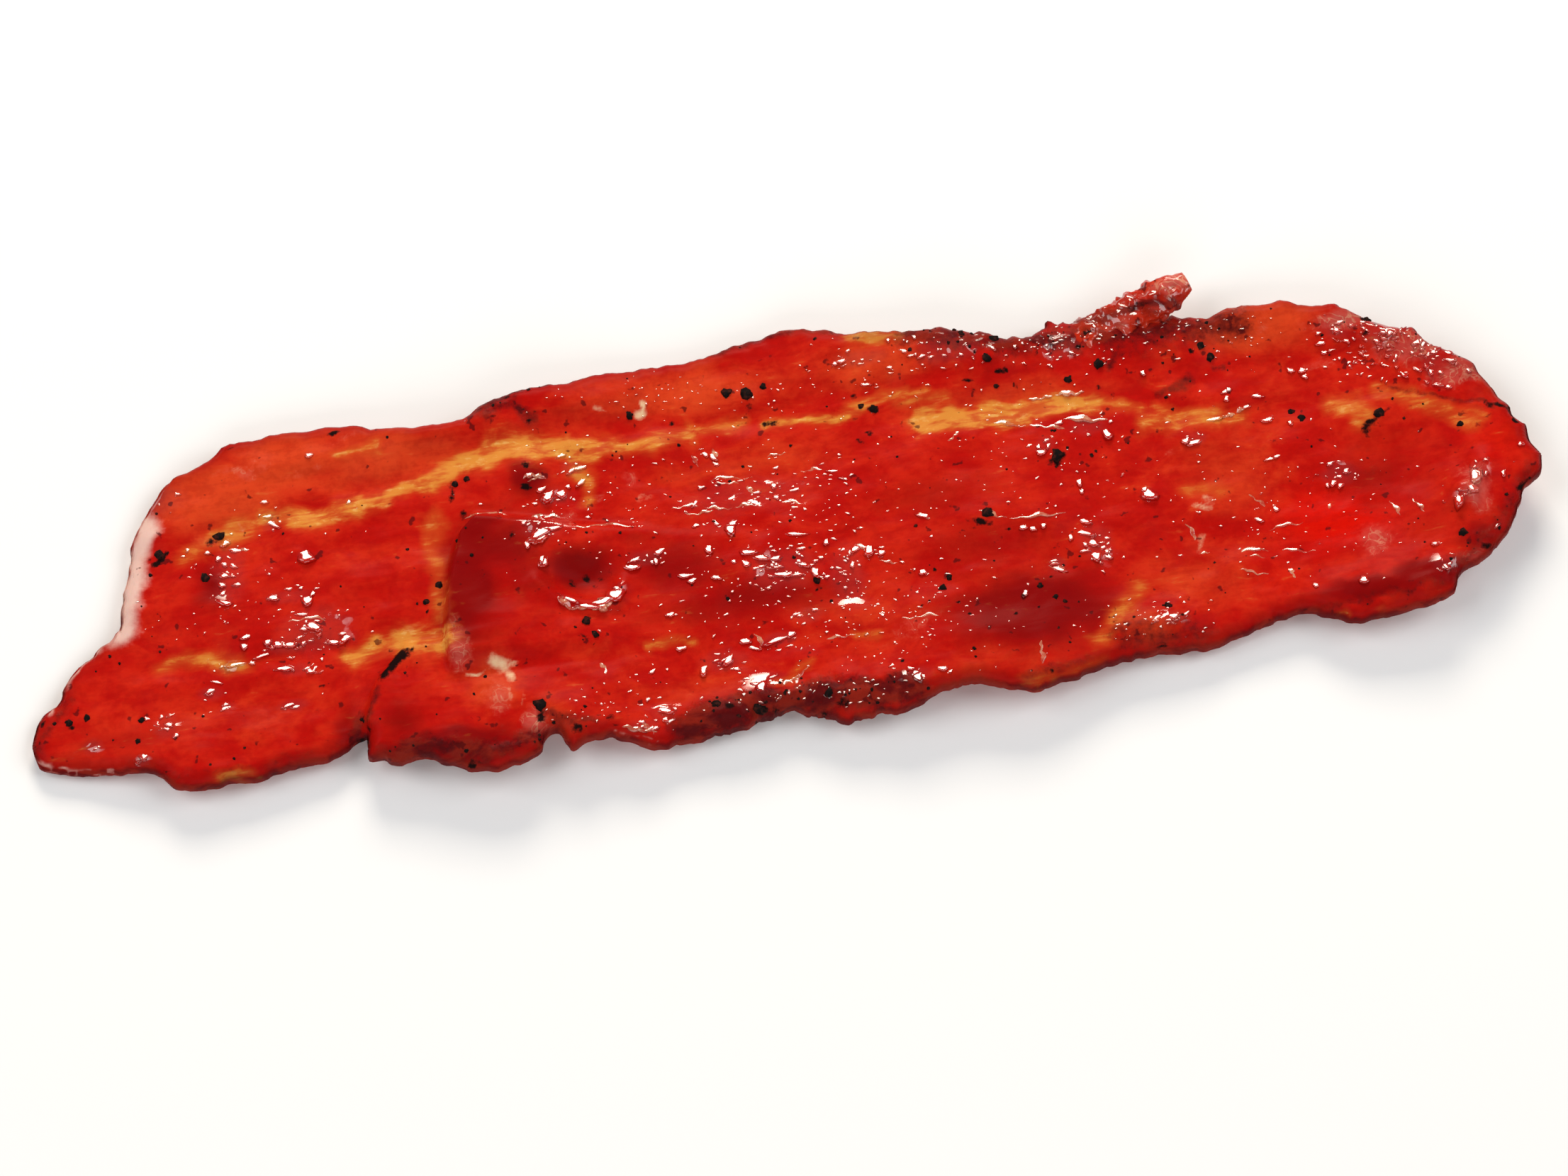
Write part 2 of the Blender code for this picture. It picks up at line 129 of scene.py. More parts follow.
sliceForm = {
    "thickness": 3.5,
    "rimHeight": 0.45,
    "topRimRadius": 1.8,
    "underRimRadius": 1.2,
    "waveLength": 62.0,
    "waveHeight": 1.6,
    "waveShift": 8.0,
    "cupHeight": 1.4,
    "cupMiddle": 1.0,
    "cupSpan": (9.0, 24.0),  # distance from that middle line where the cupped edges start and end
    "cupLength": 47.0,
    "cupShift": 5.0,
    "endLift": 1.8,
    "endSpan": (58.0, 92.0),
    "settledSpan": (-90.0, -72.0),
    "settling": 0.35,
    "thinEnd": 0.34,
    "thinSpan": (-92.0, -66.0),
    "leastMeat": 1.3,
    "ragDepth": 0.28,
    "fineRagDepth": 0.13,
    "cragHeight": 0.32,
    "crags": ((1.0, 1.6, 7.0), (0.6, 1.4, 3.4)),  # share of the height, squeeze across the slice, cell
    "edgeLength": 190.0,
    "burnt": ((38.0, 20.0), (0.0, 16.0)),  # middle and width of the ragged burnt stretch: far edge, near edge
    "burntRag": 1.4,
    "wander": ((1.0, 3.1), (0.5, 1.7)),  # edge noises: weight, cell
    "fineRag": ((1.0, 0.9), (0.6, 0.5)),
    "ribs": 606,
    "ribLead": 0.09,  # share of its length by which the far edge runs ahead in the left half
    "topSteps": 140,
    "underSteps": 18,
    "farEdge": (
        (-90.6, -14.3), (-89.4, -10.8), (-87.4, -9.4), (-85.4, -6.2), (-82.4, -3), (-79.6, -1.3),
        (-78.4, 2.5), (-77.3, 7.8), (-75.2, 12.7), (-72.3, 16.4), (-67.1, 19.1), (-64.5, 20.8), (-59.5, 21),
        (-50.3, 20.9), (-42.8, 19.1), (-35.6, 19.6), (-31, 21.6), (-23.8, 22.8), (-18.4, 23.5), (-9.2, 24),
        (-3, 24.9), (4.1, 26.1), (10.8, 24.2), (18.1, 23), (24.6, 22.3), (30.4, 20.7), (33.2, 21.6),
        (34.6, 22.5), (36.4, 22.6), (37, 22), (42, 21.2), (49, 21.2), (52.4, 20.9), (57.5, 21.6),
        (62.7, 21.1), (69.2, 19.4), (70.9, 18.2), (72.8, 16.7), (75.5, 15), (77.2, 14.9), (77.9, 13.5),
        (79.9, 11.2), (81.7, 10.1), (83.4, 9), (83.9, 7.1), (85.4, 4), (86.3, 2.6), (86.6, 1.3), (87.7, 0.7),
        (88.4, 0.2), (88.3, -2.2), (89.3, -4.1),
    ),
    "nearEdge": (
        (-90.6, -14.3), (-90, -16.9), (-87.9, -17.9), (-83.8, -18.9), (-77.3, -19.7), (-73.7, -22.4),
        (-67, -22.6), (-61.5, -21.7), (-56.2, -21.1), (-54.5, -20.4), (-53.8, -19.5), (-52.8, -19),
        (-51.9, -19.2), (-51.7, -20), (-51.9, -21.8), (-50.4, -22.2), (-48.9, -23.3), (-45.3, -23.3),
        (-42.6, -24.5), (-38.8, -25.7), (-33.1, -24.9), (-31.8, -23.4), (-30.8, -22.6), (-29.7, -22.8),
        (-28.5, -24.7), (-25.4, -23.4), (-18, -25.3), (-9.9, -23.8), (-1.1, -22.8), (3.5, -25.1),
        (9.5, -25.4), (17.2, -23.3), (25.8, -24.8), (34.4, -22.7), (39.7, -21.5), (46.6, -21.8),
        (51.5, -20.5), (58.2, -18.9), (65.2, -21.5), (74.6, -20.3), (77.2, -17.6), (82, -14.6), (86, -8.5),
        (88.6, -6.4), (89.3, -4.1),
    ),
    # folds: (y, x) along the step, height, run-out to the right, slope of the line where the far end stops
    "folds": (
        (((-11, -41.5), (-8, -41.5), (-3.5, -40.7), (0, -39.8), (4, -38.5), (5.8, -36.5)), 1.7, 22, -0.2),
        (((-24, -52), (-17.3, -51.8), (-14.2, -50.7), (-12.1, -49.2), (-9.2, -46.5)), 1, 9, 0),
    ),
    # lumps and hollows: x, y, radius along x, radius along y, height
    "lumps": (
        (-24.6, -3, 3.8, 2.6, -1.7), (-29.5, 11.2, 2.4, 2.4, 0.9), (-5, -3.5, 14, 6, 0.5),
        (24, -2.7, 3.6, 2.2, 0.6), (29.5, -3.3, 3.4, 1.8, 0.6), (-1, -21.8, 12, 2.4, 1.1),
        (41, -18.8, 6, 2.8, 1), (26, 19.5, 9, 3.2, 0.9), (46, 18.5, 12, 3.6, 1.2), (72, -2, 7, 6, -1.1),
        (66.5, -17.6, 6.5, 2.4, 0.8), (79, -7.5, 2, 2, 1.2), (81.8, -4.8, 1.8, 1.8, 1),
        (-53.6, -17.2, 2, 3, -0.9), (-60, -4, 12, 6, 0.4), (-66, 4.5, 3, 6, -0.5), (15, 4, 12, 5, 0.35),
    ),
    # raised cords and sunk seams: points, half width, height
    "streaks": (
        (((-70, 8.5), (-57, 11), (-43, 12.9), (-28.4, 15.6), (-6, 15), (14, 16.5)), 1.8, -0.35),
        (((18, 11.8), (30, 11.9), (42.8, 10.2), (55.2, 6.9), (72, 7.6)), 1.6, -0.3),
        (((-76.5, -7.5), (-66, -7.8), (-54, -8.2), (-43, -7.8)), 1.7, -0.35),
        (((69, 17.5), (78, 12.5), (84, 7.5), (86.5, 1)), 2.6, 1),
        (((-60, 16.5), (-48, 17), (-34, 18), (-16, 20)), 1.8, 0.4),
        (((-30.1, -3.4), (-28.5, -5.2), (-25.2, -6.9), (-22.9, -7.3), (-20.8, -6.3), (-20.2, -4.4)), 1, 0.6),
    ),
}


def raggedness(x, onFarEdge):
    # base depth, raised by a bell over the burnt stretch of that edge
    middle, width = sliceForm["burnt"][0 if onFarEdge else 1]
    return sliceForm["ragDepth"] * (1.0 + sliceForm["burntRag"] * np.exp(-np.square((x - middle) / width)))


def raggedEdge(points, onFarEdge):
    # smooth curve at equal shares of its length, pushed along its normal by noise of four wavelengths
    shares = np.linspace(0.0, 1.0, sliceForm["ribs"] + 2)
    if onFarEdge:
        ahead = smoothRamp(0.0, 0.2, shares) * (1.0 - smoothRamp(0.25, 0.7, shares))
        shares = shares + sliceForm["ribLead"] * ahead
    edge = alongPath(smoothPath(points), shares)
    tangent = np.gradient(edge, axis=0)
    tangent = tangent / np.linalg.norm(tangent, axis=1, keepdims=True)
    outward = np.stack([-tangent[:, 1], tangent[:, 0]], axis=-1) * (1.0 if onFarEdge else -1.0)
    place = shares * sliceForm["edgeLength"]
    seed = plan["seed"] + (10 if onFarEdge else 20)
    still = 0 * place
    wander = noiseSum(place, still, seed, *sliceForm["wander"])
    fine = noiseSum(place, still, seed + 2, *sliceForm["fineRag"])
    depth = raggedness(edge[:, 0], onFarEdge)
    quietTips = smoothRamp(0.0, 0.02, shares) * (1.0 - smoothRamp(0.98, 1.0, shares))
    push = depth * wander + sliceForm["fineRagDepth"] * fine * depth / sliceForm["ragDepth"]
    return edge + outward * (push * quietTips)[:, None]


farEdge = raggedEdge(sliceForm["farEdge"], True)
nearEdge = raggedEdge(sliceForm["nearEdge"], False)
rimPoints = np.vstack([farEdge, nearEdge])


def distanceToRim(x, y):
    # distance to the nearest sample of the two edges, worked out a few thousand points at a time
    spots = np.stack([np.ravel(x), np.ravel(y)], axis=-1)
    least = [
        np.sqrt(np.min(np.square(part[:, None] - rimPoints[None]).sum(axis=-1), axis=1))
        for part in np.array_split(spots, max(1, len(spots) // 3000))
    ]
    return np.concatenate(least).reshape(np.shape(x))


def lift(x, y):
    # height of the underside: long cosine waves plus cupped edges, flat where they touch the surface
    form, turn = sliceForm, 2 * np.pi
    wave = form["waveHeight"] * 0.5 * (1.0 - np.cos(turn * (x + form["waveShift"]) / form["waveLength"]))
    cup = form["cupHeight"] * smoothRamp(*form["cupSpan"], np.abs(y - form["cupMiddle"]))
    cup = cup * (0.5 + 0.5 * np.sin(turn * (x - form["cupShift"]) / form["cupLength"]))
    end = form["endLift"] * smoothRamp(*form["endSpan"], x)
    return np.maximum((wave + cup) * smoothRamp(*form["settledSpan"], x) + end - form["settling"], 0.0)


def foldBell(x, y, fold, runOut, nearEnd, farReach, step):
    # 0 left of the fold's line and past its two ends, 1 just right of it, fading as a bell to the right
    line, _, _, slope = fold
    rows, columns = np.array(line).T
    past = x - np.interp(y, rows, columns)
    farEnd = rows[-1] + slope * np.maximum(x - columns[-1], 0.0)
    window = smoothRamp(*nearEnd, y) * (1.0 - smoothRamp(farEnd - farReach[0], farEnd + farReach[1], y))
    return window * np.exp(-np.square(np.maximum(past, 0.0) / runOut)) * smoothRamp(*step, past)


def foldHeight(x, y):
    # the steps of all folds
    total = np.zeros(np.shape(x))
    for fold in sliceForm["folds"]:
        line, height, runOut, _ = fold
        nearEnd = (line[0][0] - 3.0, line[0][0])
        total = total + height * foldBell(x, y, fold, runOut, nearEnd, (0.4, 1.2), (-0.45, 0.45))
    return total


def foldLobe(x, y):
    # the dark lobe of meat just right of the first fold
    return foldBell(x, y, sliceForm["folds"][0], 7.5, (-16.0, -7.0), (0.6, 0.4), (-0.2, 0.5))


def broadRelief(x, y):
    # folds, lumps, hollows and streaks, with crags from two noises
    relief = foldHeight(x, y)
    for centreX, centreY, radiusX, radiusY, height in sliceForm["lumps"]:
        reach = np.square((x - centreX) / radiusX) + np.square((y - centreY) / radiusY)
        relief = relief + height * np.exp(-reach)
    for points, halfWidth, height in sliceForm["streaks"]:
        relief = relief + height * np.exp(-np.square(distanceToPath(x, y, points) / halfWidth))
    for step, (share, squeeze, cell) in enumerate(sliceForm["crags"]):
        height = sliceForm["cragHeight"] * share
        relief = relief + height * latticeNoise(x, squeeze * y, cell, plan["seed"] + step)
    return relief


# Where each colour and finish lies on the plan, as soft spots and bands

surfaceMap = {
    # amber fat: points, half width, strength
    "fat": (
        (((-70.2, 6.9), (-66.8, 8.4), (-62.4, 10.1)), 0.8, 0.5),
        (((-60.5, 10.4), (-55.8, 9.6), (-53, 9.3), (-49.6, 9.9)), 1, 0.9),
        (((-49.6, 9.9), (-46.2, 10.5), (-43.3, 11.3), (-39.4, 11.6)), 0.8, 0.75),
        (((-40.4, 11.7), (-36.4, 13.2), (-31.5, 14.2), (-26, 14.8)), 1.1, 0.95),
        (((-74.9, -7.6), (-71.6, -7), (-68.4, -7.6), (-65.6, -8.4)), 0.7, 0.6),
        (((-53.1, -9.1), (-50.2, -8.7), (-46.9, -8.6)), 0.9, 0.8),
        (((-46.9, -8.6), (-44.4, -9), (-42.1, -9.5)), 1.5, 1),
        (((-51.7, 16.7), (-48.8, 16.7), (-46.8, 16.8)), 0.4, 0.6), (((-69.3, -22), (-65.6, -21.7)), 0.5, 0.9),
        (((-41.2, 6.8), (-41.6, 0.7), (-41.9, -5.5)), 0.7, 0.35),
        (((-32.8, 14.6), (-27.7, 14.3), (-22.6, 13.5)), 1.35, 1),
        (((-22.5, 13.9), (-15.9, 13.3), (-9.7, 13.2)), 0.7, 0.75),
        (((-23.4, 11.3), (-22.9, 9), (-23, 6.7)), 0.8, 0.65),
        (((-9.5, 14.4), (-5.9, 14.5), (-3.8, 14.4)), 0.5, 0.5),
        (((-0.8, 13.8), (3.4, 13.5), (7.6, 13.6), (11.3, 14.2)), 0.5, 0.85),
        (((11.3, 14.2), (14, 14.8), (18.1, 14.8)), 0.5, 0.5),
        (((-17.6, -13), (-15.8, -12.7), (-13.7, -12.6)), 0.3, 0.8), (((5.3, -15), (8.3, -15.5)), 0.3, 0.7),
        (((-4, -19.5), (-1.8, -18.4), (-0.1, -17.3)), 0.3, 0.6),
        (((17.3, 10.7), (20.9, 11.2), (25.1, 10.4), (29.3, 9.9)), 1.1, 1.1),
        (((25.3, 11.8), (30.7, 11.5), (36, 10.9), (38.6, 10.5)), 0.9, 1.05),
        (((38.6, 10.5), (41, 10.2), (43.6, 9)), 0.55, 0.6),
        (((43.6, 7.6), (47.3, 7.5), (50.5, 7), (54.8, 6.6)), 0.9, 0.6),
        (((9.6, 14.9), (13, 15.5), (15.6, 15.4)), 0.4, 0.5), (((14.8, 13.4), (20.3, 13.8)), 0.4, 0.5),
        (((10.9, 23.4), (14.1, 23.1), (16.4, 22.3)), 0.9, 0.9),
        (((34, -19.9), (37.9, -15.8), (39.4, -13.3)), 0.9, 0.5),
        (((24.4, -23.7), (27.5, -23.9), (33.5, -23)), 0.5, 0.5),
        (((46.2, 8.6), (48.6, 7.7), (50.6, 6.8), (52.7, 6.5)), 0.8, 0.6),
        (((66, 6.6), (68.9, 6.3), (70, 4.8), (69.8, 3.2)), 0.8, 0.5),
        (((71.7, 7.3), (75.6, 5.6), (79.4, 3), (82.3, 0.8)), 0.7, 0.5),
        (((46.9, -2), (49, -2), (51.1, -2.6)), 0.6, 0.35),
        (((62.2, -20.6), (65, -21.3), (67.1, -21.3)), 0.25, 0.7),
    ),
    # cream fat: x, y, radius along x, radius along y, strength
    "cream": (
        (-36, -13.3, 1.6, 1, 0.9), (-34.4, -12.9, 1.1, 0.6, 0.75), (-35, -14.6, 0.7, 1.1, 0.85),
        (-38.9, -13.9, 1.5, 0.45, 0.85), (-35.4, -16.8, 0.5, 1.9, 0.5), (-33.6, -18.4, 0.5, 1.8, 0.45),
        (-15.3, 17.5, 1.4, 0.8, 1), (-14.9, 18.4, 0.5, 1, 1), (-19.9, 18, 0.9, 0.7, 0.6),
        (48.3, -4.4, 1.4, 0.5, 0.65), (49.6, -3.6, 0.8, 0.6, 0.6), (47.6, -9, 0.5, 1.8, 0.5),
        (-16.6, 6.4, 1.4, 0.9, 0.5), (-13.6, 4.4, 0.5, 1.6, 0.4), (-63.4, 9.5, 1.6, 0.5, 0.35),
    ),
    # pink translucent fat and thin meat
    "pink": (
        (-40, -11.2, 1.6, 4, 0.6), (-36.8, -17.7, 2.2, 4.2, 0.55), (-32.6, -21.3, 1.6, 2.2, 0.8),
        (-62, 16.5, 4.6, 1.2, 0.45), (-50, 18.9, 4, 1, 0.4), (-55, 14.9, 3.6, 1, 0.35),
        (-26.4, 4.1, 2.4, 1.6, 0.5), (-21.6, 6.9, 1.6, 1.6, 0.45), (-17.6, 9.5, 1.8, 1.2, 0.5),
        (68, -11.6, 3.4, 2.8, 0.65), (80.4, -7.7, 2.4, 3.4, 0.75), (78.4, -15.9, 2.8, 1.4, 0.7),
        (70.4, 16.9, 6, 1.6, 0.75), (77, 11.9, 5, 2.4, 0.75), (82.6, 7.8, 3.4, 2.6, 0.75),
        (80.5, 6.6, 4, 1.4, 0.6), (56.4, 20.4, 2.6, 0.8, 0.8), (60, 17.9, 1.8, 2.4, 0.4),
        (65, 11.9, 3, 1.6, 0.35), (46.6, 2.9, 1.6, 1.2, 0.4), (48.4, -7.1, 2, 1.4, 0.35),
        (12.6, -15.3, 4.6, 2.4, 0.4),
    ),
    # orange meat
    "orange": (
        (-66, 13.8, 11, 6, 1), (-57, 17, 9, 4.5, 1.1), (-48, 15.8, 12, 4.6, 0.95), (-82, -12.7, 9, 5, 0.25),
        (-64, -14.7, 14, 5, 0.4), (-50, 3.3, 7, 6, 0.25), (-45, -10.7, 4, 3, 0.6), (-24, -14.7, 9, 5, 0.35),
        (-37, -15.5, 4, 3.5, 0.9), (-10, 19.3, 16, 4, 0.85), (14, 19.3, 9, 4, 0.8), (8, -12.7, 12, 6, 0.4),
        (30, 12.3, 16, 3.5, 0.7), (52, 0.3, 9, 9, 0.6), (46, -12.7, 8, 6, 0.6), (59.5, 18.4, 7.5, 3.8, 1.4),
        (86, 6, 3, 3, 0.8), (60, 9.3, 8, 5, 0.4), (39.5, -18.7, 5, 2.5, 0.8), (22, -20.7, 9, 3, 0.5),
        (-12, -18.7, 12, 3, 0.5), (-30, -20.7, 4, 3, 0.6), (-4, 9.3, 14, 3, 0.6),
    ),
    # deep red meat, and painted shade in the blister hollow and left of the notch
    "deep": (
        # the spot at (-24.6, -2.3) is painted shade in the blister hollow
        (-38.2, -3.7, 4, 8, 1), (-34, 1.3, 6, 5, 0.8), (-24.6, -2.3, 4.4, 3, 1.1), (-31, -2.7, 5, 5, 0.55),
        (-47.5, -18.7, 3.4, 5, 0.6), (-43, -23.2, 8, 2.4, 1.5), (27, -15, 11, 5, 1.1),
        (22, -6.7, 12, 5, 0.45), (-6, -8.7, 12, 2.6, 0.7), (70, -3.5, 7, 5, 0.55),
        (-29.5, 10.5, 2.4, 2.2, 0.9), (73, -10.7, 8, 4, 0.3), (-68.4, 2.3, 1.8, 3.4, 0.85),
        (80, -13.3, 3, 2, 0.8), (18, 1.3, 9, 4, 0.4), (-14, -3.5, 7, 4.5, 0.7), (-17, 1.3, 6, 2, 0.4),
        # the spot at (-54.4, -17.7) is painted shade left of the notch
        (66.5, -17.9, 7, 1.5, 1.2), (72.5, -17.4, 5, 1.8, 1.1), (-54.4, -17.7, 2, 3.4, 0.7),
        (-66, -4.7, 3, 6, 0.3), (-80, -15.7, 8, 2, 0.4),
    ),
    # bright scarlet meat
    "scarlet": (
        (64, -7.5, 8, 5, 0.9), (84, -1.5, 5, 6, 0.5), (56, -14, 6, 3, 0.4),
    ),
    # brown and burgundy crust, and painted shade by the notch: points, half width, strength
    "crustAndShade": (
        (((-15, -23.4), (-8, -22.4), (-1, -21.8), (5, -22.4), (11, -22.8)), 2.5, 1.15),
        (((-33.5, 18.4), (-30.5, 19.6), (-28, 18)), 1.5, 0.85), (((-31.2, -20.6), (-25.5, -21.6)), 1.2, 0.75),
        (((18, 22), (28, 19.8), (40, 19.4), (50, 18.4), (57, 18.6)), 3, 0.9),
        (((36, -19.6), (46, -19.8)), 2.2, 0.7), (((-36, 19), (-30.5, 21.4), (-27, 22.2)), 1.5, 0.9),
        (((-6, 24.4), (4, 25.6), (9, 24.6)), 1.2, 0.85), (((-48, -22), (-39, -24), (-33, -23)), 1.6, 0.9),
        (((-74, -21.4), (-58, -20.6)), 0.8, 0.5), (((70, 19.4), (78, 14.4), (84.6, 8), (87.6, 1)), 1.8, 0.6),
        (((76, -16.6), (82, -12.6), (87, -6.4)), 1.6, 0.6), (((-90, -15), (-86, -10)), 1.6, 0.6),
        # the band from (-53.4, -19) to (-52.6, -17) is painted shade at the notch
        (((-53.4, -19), (-52.6, -17)), 1.1, 0.9), (((24.6, -23.2), (32, -22)), 0.9, 0.6),
        (((-80, -18.6), (-70, -21.6)), 0.7, 0.4), (((60, -19.4), (74, -18.8)), 1, 0.6),
        (((46.4, 11), (48.1, 11.5), (49.9, 12.4)), 0.9, 0.8), (((53, 13.2), (54.6, 13.3)), 0.6, 0.8),
        (((40.6, 15.6), (42.4, 16.8)), 0.8, 0.8),
        (((73.5, 7.3), (77.5, 5.4), (81, 3.8), (84.6, 2.1)), 0.45, 0.7),
        # the band from (-49.6, -14.5) to (-51.3, -17.5) is painted shade along the crease of the second fold
        (((-51, -21.6), (-44, -22.6), (-38, -24.2)), 1.3, 0.6), (((-49.6, -14.5), (-51.3, -17.5)), 0.7, 0.8),
        (((69.6, 0.6), (69, -3)), 0.8, 0.35),
    ),
    # long charred marks: points, half width, strength
    "charMarks": (
        (((-49.2, -13), (-48.5, -12), (-47.4, -11.1), (-46.5, -10.6)), 0.9, 1),
        (((-49, -12.6), (-48.6, -12.2)), 1.2, 0.9), (((-74.5, 6.1), (-73.3, 6.7), (-72.6, 7.3)), 0.5, 1),
        (((-37.9, 6.4), (-37.5, 6.9)), 0.5, 0.8), (((-38.5, 10.9), (-38.4, 9.6), (-38.8, 8.5)), 0.4, 0.7),
        (((-0.8, 14), (0.5, 13.8)), 0.5, 0.9), (((-25.9, -10.8), (-25.3, -11.4)), 0.4, 0.9),
        (((31.5, 3.3), (33.3, 4.3)), 0.6, 0.9), (((27.4, 16.1), (28.8, 16.1)), 0.5, 1),
        (((20.9, -3), (22.3, -3.5), (23.5, -3.7)), 0.6, 0.7), (((69.8, 2.3), (70.3, 2.8)), 1, 0.75),
        (((70.5, 3.1), (71.4, 3.9), (72.5, 4.7)), 0.45, 0.7),
        (((85.2, -8.3), (86.2, -7.6), (87.1, -7.1)), 0.5, 0.9),
        (((83.6, 2.7), (85.2, 2.5), (86.3, 1.8), (86.9, -0.1)), 0.5, 0.8), (((62, 3), (63, 2.4)), 0.4, 0.7),
    ),
    # pale translucent fat rim, with a painted sheen where the edge rolls over: points, half width, strength
    "rim": (
        (((-75, 11.4), (-76.8, 7.2), (-78, 2.5), (-79.1, -1.8)), 1.8, 1),
        (((-79.3, -1.5), (-82, -3.5), (-85.3, -6.3), (-88.6, -10.6)), 0.6, 0.8),
        (((-90.4, -15.2), (-89.4, -17.2), (-87.8, -18.2), (-82, -19.2)), 0.35, 0.65),
        (((86, 8), (89.2, 0.6), (89.6, -3.4)), 0.7, 0.5), (((62, 22), (71, 20.2), (79, 15)), 0.9, 0.45),
        (((-24, -24), (-17, -25.3)), 0.3, 0.5),
    ),
    # charred spots: x, y, radius along x, radius along y, strength
    "char": (
        (-67.1, 7.9, 0.7, 0.8, 1), (-68.4, 4.1, 0.6, 1.1, 0.7), (-76.8, -12.9, 0.7, 0.5, 0.7),
        (-85.9, -12.9, 0.6, 0.4, 0.9), (-56.3, -12.4, 0.7, 0.3, 0.8), (-57.5, -15.4, 0.3, 0.3, 0.7),
        (-66.4, -14.5, 0.7, 0.4, 0.6), (-89.2, -12, 0.7, 0.8, 0.9), (-88.2, -16.4, 0.6, 0.5, 0.6),
        (-89.5, -14.1, 0.4, 0.5, 0.8), (-61.9, -21.6, 0.9, 0.2, 0.6), (-57.5, -8.9, 0.3, 0.3, 0.8),
        (-45.3, -9.9, 0.3, 0.5, 0.9), (-48.2, -9.4, 0.5, 0.3, 0.8), (-43.1, -3.9, 0.3, 0.3, 0.8),
        (-43.6, -5.3, 0.3, 0.3, 0.9), (-39.7, 3.1, 0.3, 0.3, 0.6), (-51.6, 19.8, 1.3, 0.4, 0.9),
        (-64.2, 19.7, 1.2, 0.3, 0.7), (-70.9, 16.8, 0.9, 0.3, 0.5), (-41.7, 18.9, 0.5, 0.3, 0.7),
        (-27.7, 18.6, 0.6, 0.5, 0.7), (-31, 20.5, 0.7, 0.6, 0.9), (-28.6, 17.6, 0.6, 0.5, 0.8),
        (-32.6, 18, 0.5, 0.4, 0.8), (-54.4, -20.8, 1.4, 0.3, 0.8), (-48.7, -23.8, 1.1, 0.3, 0.9),
        (-40.9, -24.9, 1.9, 0.4, 0.9), (-33, -15.4, 0.3, 0.3, 0.8), (-31.8, -20.8, 0.7, 0.8, 1),
        (-31.2, -23.7, 0.9, 0.6, 0.8), (-52.8, -19.4, 1.1, 0.7, 0.9), (-51.6, -18.8, 0.5, 1, 0.9),
        (-75.4, -20.2, 1.4, 0.3, 0.7), (-82, -18.9, 1.1, 0.3, 0.5),
        (-76.2, 2.2, 0.4, 0.3, 0.6), (-63.9, -12.2, 0.4, 0.3, 0.5), (-29.8, 9.4, 0.7, 0.7, 0.9),
        (-29.5, 11.8, 0.7, 0.6, 0.7), (-16.9, 17.8, 0.4, 0.3, 0.8), (-16, 15.9, 0.4, 0.3, 0.9),
        (-11.7, 15.3, 0.4, 0.4, 0.9), (-13.5, 10.8, 0.3, 0.3, 0.8), (-19.2, 4, 0.2, 0.2, 0.8),
        (-32.1, 2.4, 0.7, 0.7, 0.8), (-26, -3.6, 0.7, 0.7, 0.9), (-24.2, -3.3, 0.5, 0.8, 0.9),
        (-22.6, -3.7, 0.5, 0.7, 0.8), (-21.5, -2.9, 0.5, 0.7, 0.8), (-23.6, -4.6, 0.5, 0.4, 0.9),
        (-25.6, -6, 0.7, 0.3, 0.7), (-24.8, -8.9, 0.4, 0.3, 0.9), (-24.5, -12.4, 0.3, 0.3, 0.9),
        (-32.9, -15.3, 0.3, 0.3, 0.8), (-29.4, -20.6, 0.5, 0.8, 0.7),
        (-27.9, -22.4, 1.1, 0.8, 0.7), (-23.6, -21.9, 0.8, 0.4, 0.8), (-23.1, -22.8, 0.5, 0.3, 0.9),
        (-20.2, -23.9, 0.4, 0.3, 0.8), (-25, -21.1, 0.4, 0.3, 0.7), (-2.5, 16.3, 0.7, 1.2, 0.8),
        (-3.8, 14.4, 0.8, 0.3, 0.8), (11.2, 13.9, 0.9, 0.4, 0.8), (12.7, 12.9, 0.7, 0.4, 0.8),
        (11.5, 10.4, 0.4, 0.6, 0.8), (10.6, 9.4, 0.7, 0.3, 1), (9.9, 15.9, 0.5, 0.8, 0.7),
        (4.2, 8.8, 0.3, 0.2, 0.7), (2.4, -8.3, 0.4, 0.3, 1), (1.9, -8.6, 0.3, 0.2, 1),
        (-9.9, -21.9, 0.8, 0.6, 0.9), (-6.3, -24, 1, 0.4, 1), (-4.7, -22.7, 0.5, 0.4, 0.8),
        (0.5, -23.7, 0.7, 0.4, 1), (2.8, -23.5, 1, 0.7, 0.9), (-2.1, -24.1, 0.6, 0.4, 0.7),
        (7.6, -20.5, 0.7, 0.6, 0.6), (25, 18.3, 0.4, 0.5, 1), (23.6, 15.1, 0.8, 0.3, 0.8),
        (24, 14.1, 0.6, 0.3, 0.8), (29.4, 14.3, 0.4, 0.7, 0.9), (35.9, 14.1, 0.5, 0.3, 0.9),
        (32.4, 17.8, 0.4, 0.4, 0.9), (39.5, 12.6, 0.5, 0.5, 1), (40.9, 11.7, 0.4, 0.5, 0.9),
        (37.8, 18, 0.6, 0.4, 0.9), (50.8, 15.6, 0.5, 0.5, 1), (52, 17, 0.5, 0.4, 0.8),
        (48, 19.8, 0.5, 0.4, 0.7), (44.9, 21.3, 1.3, 0.8, 0.8), (11.9, 13.7, 0.6, 0.5, 0.9),
        (12.9, 13.2, 0.4, 0.6, 0.9), (11.2, 10.5, 0.5, 0.3, 0.9), (10.3, 9.6, 0.6, 0.3, 1),
        (9.9, 12.9, 0.5, 0.3, 0.7), (32.4, 3.2, 0.9, 0.7, 1),
